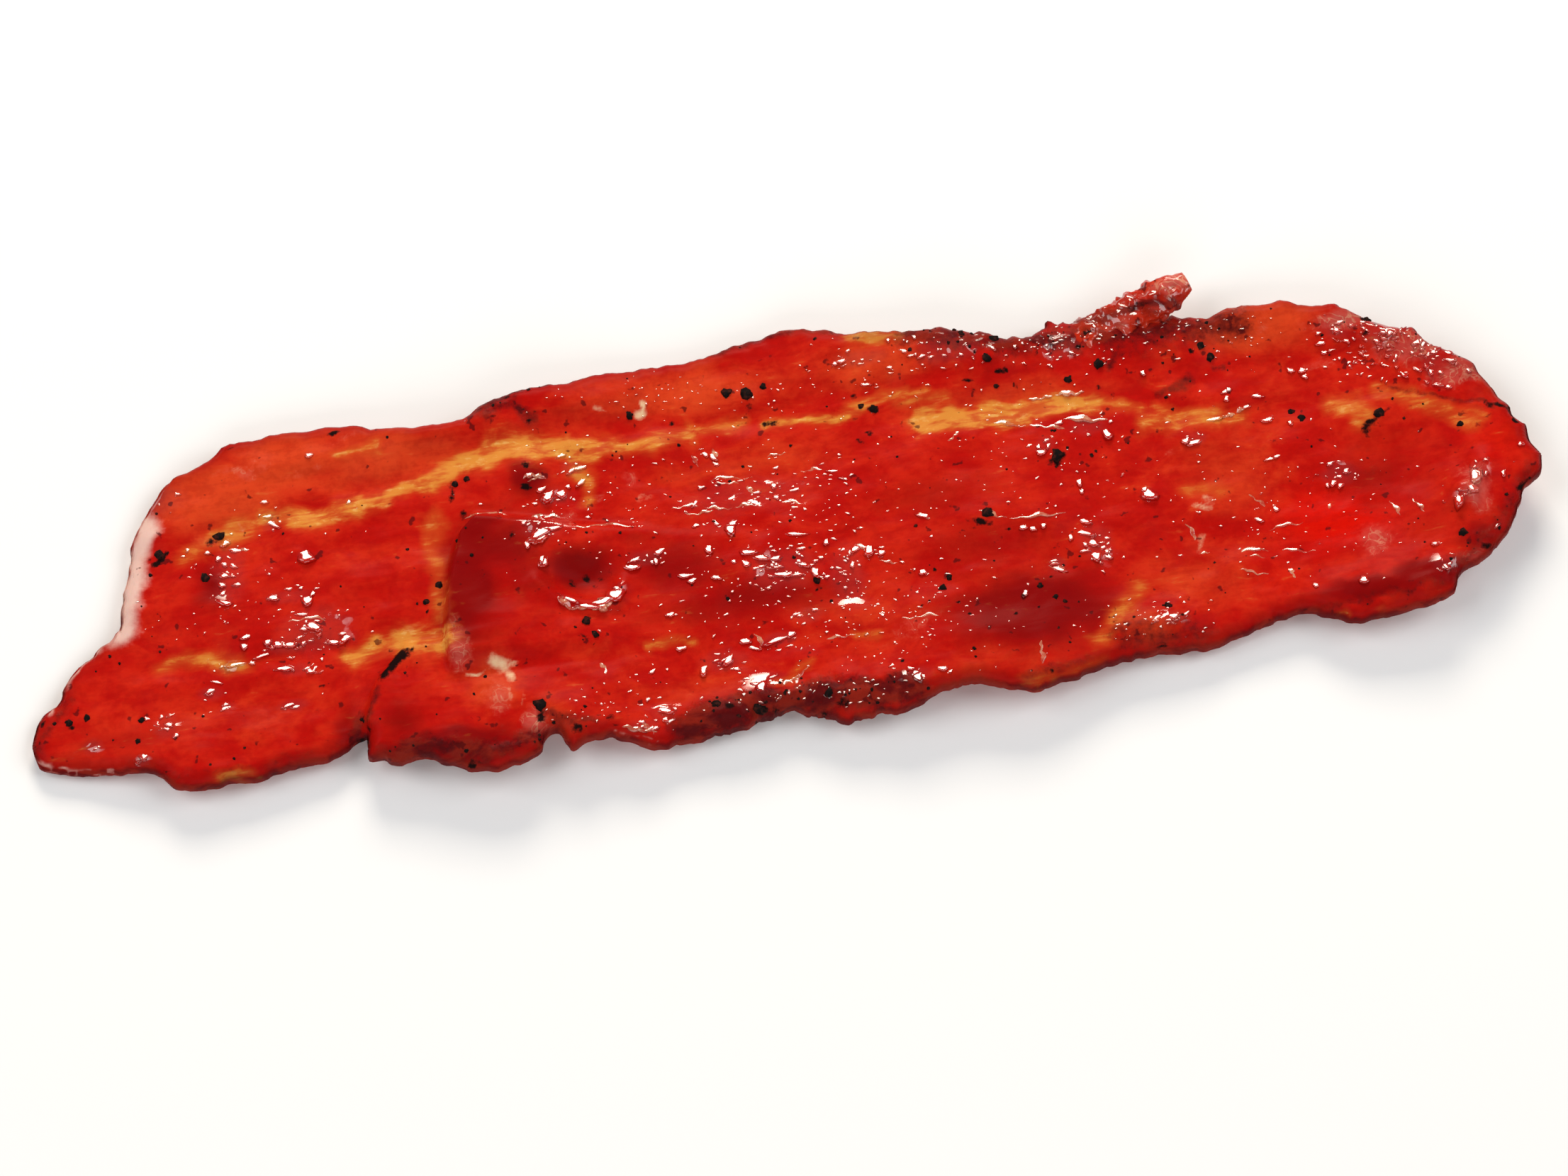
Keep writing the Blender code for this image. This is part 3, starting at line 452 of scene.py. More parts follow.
        (35.3, -1.3, 0.6, 0.5, 0.9), (36.1, -2.7, 0.4, 0.7, 0.6), (26.1, -1.7, 0.3, 0.3, 0.9),
        (22.4, -3.4, 0.7, 0.7, 1), (25.3, -4.7, 0.6, 0.4, 1), (28.3, -5.4, 0.5, 0.2, 0.8),
        (21.4, -4.1, 0.7, 0.4, 0.7), (17, -10.7, 0.5, 0.3, 1), (16, -11.5, 0.5, 0.3, 0.9),
        (18.5, -13.1, 0.4, 0.3, 1), (14.1, -12.8, 0.3, 0.3, 0.9), (27.4, -14.9, 0.3, 0.3, 0.9),
        (24.5, -15.4, 0.3, 0.3, 0.9), (25.8, -13.4, 0.5, 0.5, 0.8), (29.4, -11, 0.5, 0.3, 0.8),
        (40.6, -15.9, 0.3, 0.3, 0.8), (38.5, -12, 0.6, 0.6, 0.4), (41.3, -21, 1.2, 0.6, 0.8),
        (43.6, -18.2, 0.4, 0.3, 0.9), (42.8, -17.2, 0.5, 0.4, 0.6), (26.9, -24.2, 0.7, 0.3, 0.9),
        (27.6, -23.2, 0.4, 0.5, 0.7), (31.8, -23.7, 0.5, 0.2, 0.9), (20.9, -20.4, 0.3, 0.2, 0.8),
        (38.4, -21.9, 0.7, 0.3, 0.6), (51.5, -5.5, 0.3, 0.3, 0.6), (70.5, 3.2, 0.7, 0.7, 0.9),
        (69.7, 2.5, 0.6, 0.5, 0.8), (72, 16.3, 0.8, 0.6, 0.9), (71.8, 14.4, 0.7, 0.5, 0.8),
        (80.2, 0.4, 0.4, 0.2, 0.8), (83.9, -0.1, 0.4, 0.2, 0.7), (79, -4.2, 0.3, 0.2, 0.9),
        (86.6, -0.1, 0.6, 0.5, 1), (80.6, -14.9, 0.8, 0.6, 0.9), (82, -11.5, 0.4, 0.2, 0.6),
        (61.4, 6.5, 0.3, 0.3, 0.7), (51, -4.3, 0.3, 0.2, 0.8), (60.9, -0.3, 0.3, 0.3, 0.7),
        (63.8, 9.4, 0.7, 0.4, 0.5), (75.4, 4.5, 0.6, 0.3, 0.6), (52.1, 0.7, 0.3, 0.4, 0.5),
    ),
}

# Clusters of wet glints: x, y, spread along x, spread along y, number of beads, bead radius
glintClusters = (
    (-65.5, 3.7, 1.8, 4.2, 16, 0.32), (-56.8, 4.4, 0.5, 0.4, 2, 0.32), (-59, -0.6, 2.4, 0.7, 5, 0.32),
    (-60.4, 9.8, 0.8, 0.9, 4, 0.32), (-56.6, -5.2, 4.2, 2.9, 30, 0.32), (-60, -6.6, 2.2, 0.9, 7, 0.32),
    (-66.8, -8.3, 1.6, 0.4, 3, 0.32), (-59.2, -9.8, 2, 0.6, 4, 0.32), (-69.4, -11.2, 1.4, 0.6, 4, 0.32),
    (-67.3, -13.3, 0.6, 0.4, 2, 0.32), (-60.3, -14.2, 1.8, 0.5, 3, 0.32), (-74.8, -14.8, 1.2, 1.4, 6, 0.32),
    (-77.9, -18.6, 0.6, 0.4, 2, 0.32), (-83.5, -15.8, 1, 0.6, 3, 0.3), (-73, 14.2, 3, 2, 6, 0.28),
    (-26.5, 7.6, 1.8, 0.9, 7, 0.32), (-24.2, 11.3, 1, 0.9, 4, 0.32), (-28.6, 3.6, 2.6, 1.5, 14, 0.32),
    (-20.9, -5.3, 0.7, 0.5, 2, 0.32), (-17.2, -1.8, 1.8, 0.7, 5, 0.32), (-4, 4.8, 9, 2.2, 34, 0.3),
    (-1.5, -5.2, 4.6, 2.4, 39, 0.32), (-3, -13.8, 1.9, 0.7, 6, 0.32), (-9.6, -15.7, 2.8, 1.2, 10, 0.32),
    (0.8, -11.4, 1.6, 0.8, 6, 0.32), (6, -7.6, 2, 4.6, 33, 0.24), (12, -21.4, 1.8, 0.6, 5, 0.32),
    (-5.4, -19, 2.2, 0.7, 9, 0.32), (-17.6, -21.2, 2, 1, 8, 0.32), (-20, -22.8, 1.8, 0.4, 4, 0.32),
    (11.6, 20, 3.2, 0.8, 8, 0.3), (36.8, 7.8, 2.4, 1, 9, 0.32), (31.6, 6, 1, 0.6, 4, 0.32),
    (42.8, -2, 0.8, 0.7, 3, 0.32), (35.6, -7.2, 1.8, 2.4, 20, 0.32), (30.5, -9.4, 0.8, 0.6, 3, 0.32),
    (35.4, 18.2, 2.6, 1.2, 14, 0.32), (42.6, -18.2, 1.8, 0.6, 9, 0.32), (79, -8.3, 0.8, 0.9, 6, 0.32),
    (81.5, -5.6, 0.8, 0.8, 5, 0.32), (75.3, -16.4, 1.4, 0.9, 5, 0.32), (78.8, 8.8, 1.4, 1.4, 8, 0.32),
    (81.9, 10.4, 1.2, 0.9, 6, 0.32), (73.6, 14.6, 2.4, 1.6, 20, 0.32), (68.6, 15.9, 1.8, 1, 8, 0.32),
    (49.4, 4.6, 1.2, 0.6, 4, 0.32), (65.6, -2.3, 2.2, 1.2, 6, 0.32), (22, 19.2, 4, 1.6, 9, 0.3),
)

# Wide sprinkles of tiny glints, written the same way
glintSprinkles = (
    (-64, 0, 9, 8, 60, 0.15), (-24, 6, 8, 6, 60, 0.16), (-2, 4, 14, 7, 150, 0.16), (0, -9, 14, 7, 170, 0.17),
    (6, 18, 14, 3, 90, 0.17), (34, 4, 12, 8, 120, 0.16), (36, 19, 12, 2.6, 150, 0.2),
    (12, -14, 10, 5, 110, 0.15), (60, -6, 12, 8, 110, 0.15), (0, -22, 12, 1.8, 70, 0.2),
    (75.6, 12.6, 6.5, 3, 150, 0.36), (40, -18, 6, 2.6, 50, 0.18), (56, 17, 5, 3, 40, 0.16),
    (-16, 20, 9, 2.4, 40, 0.15), (-25, -20, 6, 2.6, 40, 0.16),
)

# Bold single glints: x, y, half length, half width, turn in degrees
glintFlares = (
    (-77.8, -18.2, 0.66, 0.33, -8), (-75.3, -13.3, 0.33, 0.23, -8), (-74.5, -14.5, 0.66, 0.23, -33),
    (-73.8, -16.1, 0.42, 0.33, -8), (-69.4, -10.9, 0.66, 0.28, 12), (-68.5, -9.9, 0.8, 0.16, -28),
    (-67.8, -12.8, 0.42, 0.23, -8), (-66.8, 5.8, 0.37, 0.33, 52), (-66.7, 1.2, 0.42, 0.33, -8),
    (-66.7, 2.3, 0.47, 0.33, 2), (-66.6, -0.2, 0.89, 0.35, -28), (-66.3, 3.5, 0.61, 0.35, -28),
    (-66.1, -8.1, 1.08, 0.28, 2), (-65.8, 7.7, 0.61, 0.42, 12), (-65.2, 4.7, 0.66, 0.23, -38),
    (-64.9, -6.1, 0.52, 0.37, 72), (-64.6, -5, 0.61, 0.33, 2), (-64.6, 6.6, 1.03, 0.21, -8),
    (-63, -7.5, 0.94, 0.21, 12), (-62.1, -6, 0.56, 0.37, 72), (-61, -6.4, 0.56, 0.47, 52),
    (-60.9, -0.5, 0.75, 0.37, 2), (-60.7, 12.2, 0.56, 0.21, 2), (-60.6, -14, 0.7, 0.23, 12),
    (-60.6, -9.4, 1.08, 0.37, 2), (-60.6, 10.4, 0.66, 0.21, -8), (-60, 9.3, 0.94, 0.28, -38),
    (-59.8, -14.3, 0.56, 0.23, 12), (-59.6, -6.6, 0.61, 0.42, -8), (-58, -6.5, 0.52, 0.23, 72),
    (-57.8, -5, 0.47, 0.28, 2), (-57.8, -3.1, 0.7, 0.23, -8), (-57.6, -10.2, 0.61, 0.28, -8),
    (-57, -1.5, 0.8, 0.52, -8), (-56.6, -4.9, 0.98, 0.52, -38), (-56.6, 4.2, 1.03, 0.75, 2),
    (-56.3, -0.7, 0.47, 0.23, 72), (-56.1, -5.7, 0.61, 0.33, 52), (-54.8, 17.1, 0.61, 0.28, -8),
    (-54.5, -7, 0.84, 0.33, -8), (-53.3, -6.2, 0.56, 0.21, -8), (-53, -6.8, 0.94, 0.47, 37),
    (-50.8, 10.5, 0.33, 0.28, -8), (-30.7, 1.2, 0.41, 0.41, -8), (-29.4, 1.7, 0.76, 0.51, 52),
    (-29.4, 2, 1.4, 0.52, 2), (-29.2, -0.6, 0.92, 0.25, 72), (-29.1, -1.1, 0.94, 0.42, 72),
    (-29.1, 2.5, 1.27, 0.56, 22), (-28.2, 8.7, 0.7, 0.28, 12), (-27.6, 7.7, 0.71, 0.51, 22),
    (-27.5, 3.1, 1.12, 0.25, -8), (-27.5, 7.7, 0.84, 0.61, 52), (-26.6, -6.3, 1.27, 0.23, -38),
    (-25.9, 8, 0.76, 0.46, 12), (-25.3, 12.9, 0.61, 0.25, 22), (-25, 8.9, 0.36, 0.25, -8),
    (-24.9, -7.3, 1.6, 0.3, -18), (-23.4, 9.3, 0.76, 0.31, 52), (-23.4, 11.1, 1.02, 0.25, 2),
    (-22.8, -6.9, 1.4, 0.48, 14), (-21.3, -6.2, 1.15, 0.72, 40), (-19, -23.4, 0.76, 0.2, 12),
    (-18.9, -2.7, 0.92, 0.41, -8), (-18.3, -16.1, 0.51, 0.2, 22), (-17.4, -21.3, 0.87, 0.41, -8),
    (-16, -2.3, 0.36, 0.36, -8), (-15.5, -1.1, 0.76, 0.31, 12), (-15.3, -9.4, 0.51, 0.31, 2),
    (-14.6, -13.6, 0.61, 0.31, -8), (-12.9, -4.6, 0.87, 0.31, 2), (-12.3, -16.5, 0.97, 0.36, 67),
    (-12.2, -5.4, 0.56, 0.31, -8), (-10.7, 1.8, 0.51, 0.25, -8), (-9.7, -1.7, 0.56, 0.46, 52),
    (-9.3, -15.7, 0.92, 0.41, 67), (-9.3, -5.5, 0.71, 0.25, -28), (-8.4, 11, 0.76, 0.2, -48),
    (-7.5, 10.4, 0.61, 0.31, -48), (-7.3, 9.5, 0.51, 0.25, -28), (-7, -13.5, 0.66, 0.41, -8),
    (-6.8, 0.5, 0.76, 0.66, 42), (-6.5, -19.4, 0.76, 0.23, -28), (-6.4, 1.4, 0.76, 0.31, 22),
    (-6.1, -14.5, 0.76, 0.23, -28), (-6, -19.8, 0.76, 0.56, 22), (-5.6, -4.2, 0.61, 0.36, -8),
    (-5.2, -2.8, 0.92, 0.41, -8), (-3.8, -3.6, 1.27, 0.31, -18), (-3.4, -13.9, 1.53, 0.33, 12),
    (-3, 5.1, 0.51, 0.2, 12), (-2.4, -4.9, 1.02, 0.25, 2), (-2.2, -3.8, 1.02, 0.25, -8),
    (-1.6, -13.4, 0.76, 0.31, 37), (-1.5, -5.9, 1.27, 0.36, -8), (-0.9, 5.7, 0.51, 0.31, 52),
    (-0.8, 4.2, 0.36, 0.36, -8), (0, -6.1, 1.02, 0.25, 2), (0.7, -4.8, 1.27, 0.28, -28),
    (0.7, -1.1, 1.27, 0.23, -8), (1.6, -10.8, 0.41, 0.25, -8), (2.3, -6.2, 0.76, 0.41, -58),
    (4.1, -2.7, 0.41, 0.36, -8), (6.2, 6.4, 0.76, 0.18, -13), (6.7, -6.1, 0.61, 0.2, 72),
    (6.7, -4.4, 0.61, 0.2, 72), (7.3, -4.1, 0.63, 0.42, 52), (8.5, 19.9, 0.41, 0.25, -8),
    (8.9, -5.1, 0.51, 0.25, 32), (8.9, -4.6, 0.74, 0.53, 52), (9.3, 20.1, 0.61, 0.31, 2),
    (10.3, -5.1, 0.51, 0.31, 52), (11.7, 16.8, 0.61, 0.25, -8), (11.9, -21.3, 0.63, 0.32, 62),
    (12, -21.9, 0.68, 0.53, -8), (14.7, -8.3, 0.53, 0.37, 62), (14.8, 18.3, 0.36, 0.25, -8),
    (15, -21.3, 0.58, 0.37, -8), (15.8, -1.2, 0.9, 0.24, -28), (17.5, 19.2, 0.51, 0.2, -8),
    (26.1, -12.8, 0.58, 0.32, 62), (27.2, -4.5, 0.63, 0.32, 2), (28.3, -4.8, 0.42, 0.37, -8),
    (29.6, -4.6, 0.42, 0.32, -8), (30.6, -10.1, 0.79, 0.32, -28), (30.7, 5.7, 0.37, 0.26, 52),
    (30.9, 4.9, 0.79, 0.32, 2), (32.6, -6.3, 0.37, 0.37, -8), (34.3, -5.9, 1.05, 0.32, -18),
    (34.5, -4.3, 0.9, 0.32, -28), (34.8, 0.7, 0.42, 0.42, -8), (34.9, -0.4, 0.37, 0.32, -8),
    (35.1, -7.3, 0.79, 0.37, -38), (35.2, -9.1, 0.74, 0.47, 12), (36.6, -9.2, 0.53, 0.32, -8),
    (39.1, 6.4, 0.63, 0.63, 22), (42.3, -1.2, 0.53, 0.26, 72), (42.7, -2, 0.9, 0.74, 22),
    (42.8, -18.1, 0.63, 0.37, -8), (44.7, 13.9, 0.37, 0.37, 22), (48.2, 4.4, 0.53, 0.42, -8),
    (49.2, 4.1, 1.05, 0.32, 12), (52.1, 6.9, 1.25, 0.25, 2), (54, 9.2, 0.42, 0.33, 52),
    (54, 10.2, 0.53, 0.26, 22), (54.5, 10.4, 0.42, 0.29, -8), (55, -6.8, 0.75, 0.25, -28),
    (56.2, 8, 0.5, 0.25, 12), (57.3, -5.6, 0.42, 0.33, 22), (57.7, 0.8, 0.71, 0.19, 12),
    (57.7, 9.2, 0.84, 0.25, -8), (58.4, 6, 0.92, 0.29, 2), (58.6, 1, 0.63, 0.19, 12),
    (60, -16.3, 0.42, 0.29, 12), (61, 5.1, 0.42, 0.29, -8), (62.3, 12, 0.42, 0.42, 32),
    (63.6, 11.7, 0.54, 0.33, -8), (63.8, 10.9, 0.42, 0.33, 52), (63.9, -3.4, 0.5, 0.19, 72),
    (64.6, -3.3, 0.5, 0.33, 62), (65.4, -17.1, 0.71, 0.42, 2), (65.4, -3.7, 0.46, 0.29, 67),
    (66.4, -2, 0.59, 0.27, 67), (68.4, 15.7, 0.5, 0.42, 22), (72.8, 13.4, 0.5, 0.25, 2),
    (74.4, 13.8, 0.5, 0.29, 62), (74.7, 11.1, 0.59, 0.17, 72), (74.8, -13.7, 0.84, 0.25, 7),
    (75.2, -17, 0.54, 0.38, -28), (78.3, -8.7, 1.4, 0.46, 78), (78.3, 8.2, 0.38, 0.38, -8),
    (78.8, 6.5, 0.63, 0.25, -8), (79.4, 7.9, 0.38, 0.25, 72), (80, -7.9, 0.63, 0.54, 52),
    (80, 6, 0.5, 0.21, -8), (80.7, -6.2, 1.4, 0.5, 75), (80.7, 10.1, 0.63, 0.29, -38),
    (82, -6.1, 0.46, 0.21, 72), (82.2, -12.5, 0.5, 0.19, 52), (82.6, 7.4, 0.33, 0.29, -8),
    (84.1, -6.2, 0.67, 0.25, 72), (86.8, -3, 0.38, 0.29, -8),
)


fineForm = {
    "glintReach": 0.35,  # how far a cluster's wet skin reaches past its spread
    "bends": ((1.3, 6.0), (1.0, 4.2)),  # sideways bend of the wrinkles along and across: depth, cell
    "wrinkles": ((0.15, 1.9, 2.3), (0.075, 1.6, 1.2)),  # height, squeeze across the slice, cell
    "calm": 0.28,  # share of the wrinkles outside the clusters
    "crags": ((0.22, 1.5), (0.12, 0.8)),  # height, cell
    "fibres": (0.025, 0.16, 0.62),  # height, squeeze along the slice, cell
    "fibreBend": 0.6,
    "seed": 101,
}


def glintField(x, y):
    # bells round the glint clusters
    reach = fineForm["glintReach"]
    bells = [(*row[:2], row[2] + reach, row[3] + reach, 1.0) for row in glintClusters]
    return softSpots(x, y, bells)


def crustAndShadeField(x, y):
    # bands of burnt crust, with the painted shade by the notch among them
    return softBands(x, y, surfaceMap["crustAndShade"])


def fineRelief(x, y):
    # wrinkles: warped noise stretched along the slice, deep in the glint clusters and faint elsewhere,
    # plus hard crags on the crust and faint fibres along the meat
    form, seed = fineForm, fineForm["seed"]
    bendX, bendY = (noiseSum(x, y, seed + step, bend) for step, bend in enumerate(form["bends"]))
    wrinkles = 0.0
    for step, (height, squeeze, cell) in enumerate(form["wrinkles"]):
        wrinkles = wrinkles + height * latticeNoise(x + bendX, squeeze * (y + bendY), cell, seed + 2 + step)
    wrinkles = wrinkles * (form["calm"] + (1.0 - form["calm"]) * glintField(x, y))
    crags = noiseSum(x, y, seed + 4, *form["crags"]) * crustAndShadeField(x, y)
    height, squeeze, cell = form["fibres"]
    fibres = height * latticeNoise(x * squeeze, y + form["fibreBend"] * bendY, cell, seed + 6)
    return wrinkles + crags + fibres


def thickness(x, y):
    # plain thickness, thinner at the fatty left end, plus relief
    thinned = 1.0 - sliceForm["thinEnd"] * (1.0 - smoothRamp(*sliceForm["thinSpan"], x))
    meat = np.maximum(sliceForm["thickness"] * thinned + broadRelief(x, y), sliceForm["leastMeat"])
    return meat + fineRelief(x, y)


def rimShare(distance, radius):
    # quarter circle from 0 at the edge to 1 at the radius
    inside = np.clip(distance / radius, 0.0, 1.0)
    return np.sqrt(1.0 - np.square(1.0 - inside))


def surfaceHeight(x, y, onTop=True):
    # from the mid height at the rim, the top or the underside opens out over its rim radius
    distance = distanceToRim(x, y)
    low, meat = lift(x, y), thickness(x, y)
    middle = low + sliceForm["rimHeight"] * meat
    if onTop:
        return middle + (low + meat - middle) * rimShare(distance, sliceForm["topRimRadius"])
    return middle + (low - middle) * rimShare(distance, sliceForm["underRimRadius"])


maskForm = {
    "wander": ((0.7, 2.6), (0.3, 1.1)),  # noises that move the places on the plan: depth, cell
    "steepReach": 0.5,  # on the rim's steep side the places wander with height too
    "steepWander": 2.0,
    "steepCell": 1.7,
    "heightStretch": 3.0,
    "lobe": 0.95,
    "glintDeep": 0.15,
    "fatSwell": 1.3,
    "fatPower": 3,
    "fringe": (1.8, 0.5, 0.9),  # swell, reach and strength of the orange fringe of the fat
    "dryRim": 0.8,
    "edgeReach": 0.6,
    "shadeReach": 2.4,
    "seed": 201,
}


def surfaceMasks(x, y, z):
    # one value a point for each finish, from 0 to about 1, at places that wander from the mapped ones
    form, seed = maskForm, maskForm["seed"]
    rimDistance, glints = distanceToRim(x, y), glintField(x, y)
    steep = np.exp(-np.square(rimDistance / form["steepReach"]))
    warped = []
    for step, (flat, diagonal) in enumerate(((x, x + y), (y, x - y))):
        moved = flat + noiseSum(x, y, seed + 2 * step, *form["wander"])
        climb = latticeNoise(diagonal, form["heightStretch"] * z, form["steepCell"], seed + 4 + step)
        warped.append(moved + form["steepWander"] * steep * climb)
    half = [0.5 * (flat + moved) for flat, moved in zip((x, y), warped)]
    spotted = ("cream", "orange", "scarlet", "pink", "deep")
    masks = {name: softSpots(*warped, surfaceMap[name]) for name in spotted}
    masks.update({name: softBands(*warped, surfaceMap[name]) for name in ("crustAndShade", "rim")})
    masks["deep"] = np.maximum(masks["deep"], form["lobe"] * foldLobe(x, y)) + form["glintDeep"] * glints
    swell, reach, strength = form["fringe"]
    fat = [(path, form["fatSwell"] * width, rise) for path, width, rise in surfaceMap["fat"]]
    fringe = [(path, swell * width + reach, strength) for path, width, _ in surfaceMap["fat"]]
    masks["fat"], masks["fringe"] = softBands(*warped, fat, form["fatPower"]), softBands(*warped, fringe)
    marks = softBands(*half, surfaceMap["charMarks"])
    masks["char"] = np.maximum(softSpots(*half, surfaceMap["char"]), marks)
    masks["wet"] = glints * (1.0 - form["dryRim"] * steep)
    for name in ("edge", "shade"):
        masks[name] = np.exp(-np.square(rimDistance / form[name + "Reach"]))
    return masks


# Meshes

def meshPiece(name, points, faces, material, masks=None):
    # arrays of points in plan millimetres and of triangles, put into one mesh in metres
    place = (points - (*plan["centre"], 0.0)) * plan["metre"]
    mesh = bpy.data.meshes.new(name)
    mesh.vertices.add(len(place))
    mesh.vertices.foreach_set("co", place.astype(np.float32).ravel())
    mesh.loops.add(faces.size)
    mesh.loops.foreach_set("vertex_index", faces.astype(np.int32).ravel())
    mesh.polygons.add(len(faces))
    mesh.polygons.foreach_set("loop_start", np.arange(0, faces.size, 3, dtype=np.int32))
    mesh.update(calc_edges=True)
    mesh.validate()
    for maskName, values in (masks or {}).items():
        layer = mesh.attributes.new(maskName, "FLOAT", "POINT")
        layer.data.foreach_set("value", np.ascontiguousarray(values, dtype=np.float32).ravel())
    mesh.shade_smooth()
    mesh.materials.append(material)
    piece = bpy.data.objects.new(name, mesh)
    bpy.context.scene.collection.objects.link(piece)
    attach(piece, "root")
    return piece


def tubeFaces(count, around):
    # triangles of count rings of points, with point 0 before the first ring and one point after the last
    grid = 1 + np.arange(count * around).reshape(count, around)
    ahead = np.roll(grid, -1, axis=1)
    lower = np.stack([grid[:-1], ahead[:-1], ahead[1:]], axis=-1).reshape(-1, 3)
    upper = np.stack([grid[:-1], ahead[1:], grid[1:]], axis=-1).reshape(-1, 3)
    first = np.stack([np.zeros(around, int), ahead[0], grid[0]], axis=-1)
    last = np.stack([np.full(around, count * around + 1), grid[-1], ahead[-1]], axis=-1)
    return np.vstack([lower, upper, first, last])


def shellPiece(name, shells, pattern, material, changes=None):
    # many small shells in one mesh: all share one pattern of triangles, and changes are made to their masks
    faces = (pattern[None] + (np.arange(len(shells)) * shells.shape[1])[:, None, None]).reshape(-1, 3)
    points, masks = shells.reshape(-1, 3), None
    if changes is not None:
        masks = surfaceMasks(*points.T)
        masks["deep"] = changes["deepShare"] * masks["deep"]
        masks.update({key: np.full(len(points), changes[key]) for key in ("wet", "cream") if key in changes})
    return meshPiece(name, points, faces, material, masks)


def clearOfRim(x, y, gap):
    # between the two edges at that x, read from the edges sorted along x, and farther than the gap from them
    farOrder, nearOrder = np.argsort(farEdge[:, 0]), np.argsort(nearEdge[:, 0])
    top = np.interp(x, farEdge[farOrder, 0], farEdge[farOrder, 1])
    bottom = np.interp(x, nearEdge[nearOrder, 0], nearEdge[nearOrder, 1])
    return (y < top) & (y > bottom) & (distanceToRim(x, y) > gap)


# Materials

def tone(red, green, blue, light=1.0):
    # a screen colour of 0 to 255 as the linear values that shaders use, over how bright the light is
    share = np.array([red, green, blue]) / 255.0
    linear = np.where(share <= 0.04045, share / 12.92, ((share + 0.055) / 1.055) ** 2.4) / light
    return (*linear.tolist(), 1.0)


class Wire:
    # one node output: + - * / and their mirrored forms add Math nodes, so 1 - mask works
    def __init__(self, recipe, socket):
        self.recipe = recipe
        self.socket = socket

    def math(self, operation, first, second):
        return self.recipe.add("ShaderNodeMath", {"operation": operation}, {0: first, 1: second})

    def __add__(self, other):
        return self.math("ADD", self, other)

    def __radd__(self, other):
        return self.math("ADD", other, self)

    def __sub__(self, other):
        return self.math("SUBTRACT", self, other)

    def __rsub__(self, other):
        return self.math("SUBTRACT", other, self)

    def __mul__(self, other):
        return self.math("MULTIPLY", self, other)

    def __rmul__(self, other):
        return self.math("MULTIPLY", other, self)


class Recipe:
    # the node tree of one material
    def __init__(self, name):
        self.material = bpy.data.materials.new(name)
        self.material.use_nodes = True
        self.tree = self.material.node_tree
        self.tree.nodes.clear()

    def add(self, kind, settings=None, values=None, output=0):
        # settings go on the node first, then numbers or wires into its sockets
        node = self.tree.nodes.new(kind)
        for name, value in (settings or {}).items():
            setattr(node, name, value)
        for key, value in (values or {}).items():
            if isinstance(value, Wire):
                self.tree.links.new(value.socket, node.inputs[key])
            else:
                node.inputs[key].default_value = value
        return Wire(self, node.outputs[output]) if len(node.outputs) else None

    def mask(self, name):
        return self.add("ShaderNodeAttribute", {"attribute_name": name}, output="Fac")

    def place(self, scale=(1.0, 1.0, 1.0)):
        spot = self.add("ShaderNodeTexCoord", output="Object")
        return self.add("ShaderNodeMapping", {}, {"Vector": spot, "Scale": scale})

    def noise(self, place, perMetre, detail=3.0, rough=0.55, twist=0.0):
        sockets = {"Vector": place, "Scale": perMetre, "Detail": detail, "Roughness": rough}
        return self.add("ShaderNodeTexNoise", {}, {**sockets, "Distortion": twist})

    def ramp(self, value, start, end, low=0.0, high=1.0):
        sockets = {"Value": value, "From Min": start, "From Max": end, "To Min": low, "To Max": high}
        return self.add("ShaderNodeMapRange", {"interpolation_type": "SMOOTHSTEP"}, sockets)

    def blend(self, share, under, over):
        return self.add("ShaderNodeMix", {"data_type": "RGBA"}, {0: share, 6: under, 7: over}, output=2)

    def finish(self, sockets):
        surface = self.add("ShaderNodeBsdfPrincipled", {}, sockets)
        self.add("ShaderNodeOutputMaterial", {}, {"Surface": surface})
        return self.material


meatLook = {
    # colours as they look in the studio light
    "red": (194, 16, 9), "brightRed": (212, 36, 17), "darkRed": (150, 6, 6), "orange": (222, 68, 30),
    # the deep colour also paints shade: in hollows, and the shade band near the rim
    "deep": (132, 5, 8), "scarlet": (224, 16, 2), "fringe": (212, 80, 30), "amber": (230, 152, 62),
    "darkAmber": (210, 96, 40), "paleAmber": (242, 190, 108), "cream": (240, 202, 160),
    # the rim colour is pale fat together with a painted sheen
    "pink": (212, 104, 92), "rim": (244, 206, 192),
    # the crust colours also paint the shade by the notch
    "crustAndShade": (80, 12, 15), "brownCrustAndShade": (136, 34, 22), "char": (28, 10, 9),
    "light": 1.14,  # how bright the studio light makes a white card
    "calmRoughness": 0.42, "wetRoughness": 0.16, "coatRoughness": 0.04, "coatIor": 1.8,
    "subsurface": 0.12, "subsurfaceDepth": 0.0012, "specularLevel": 0.04,
}


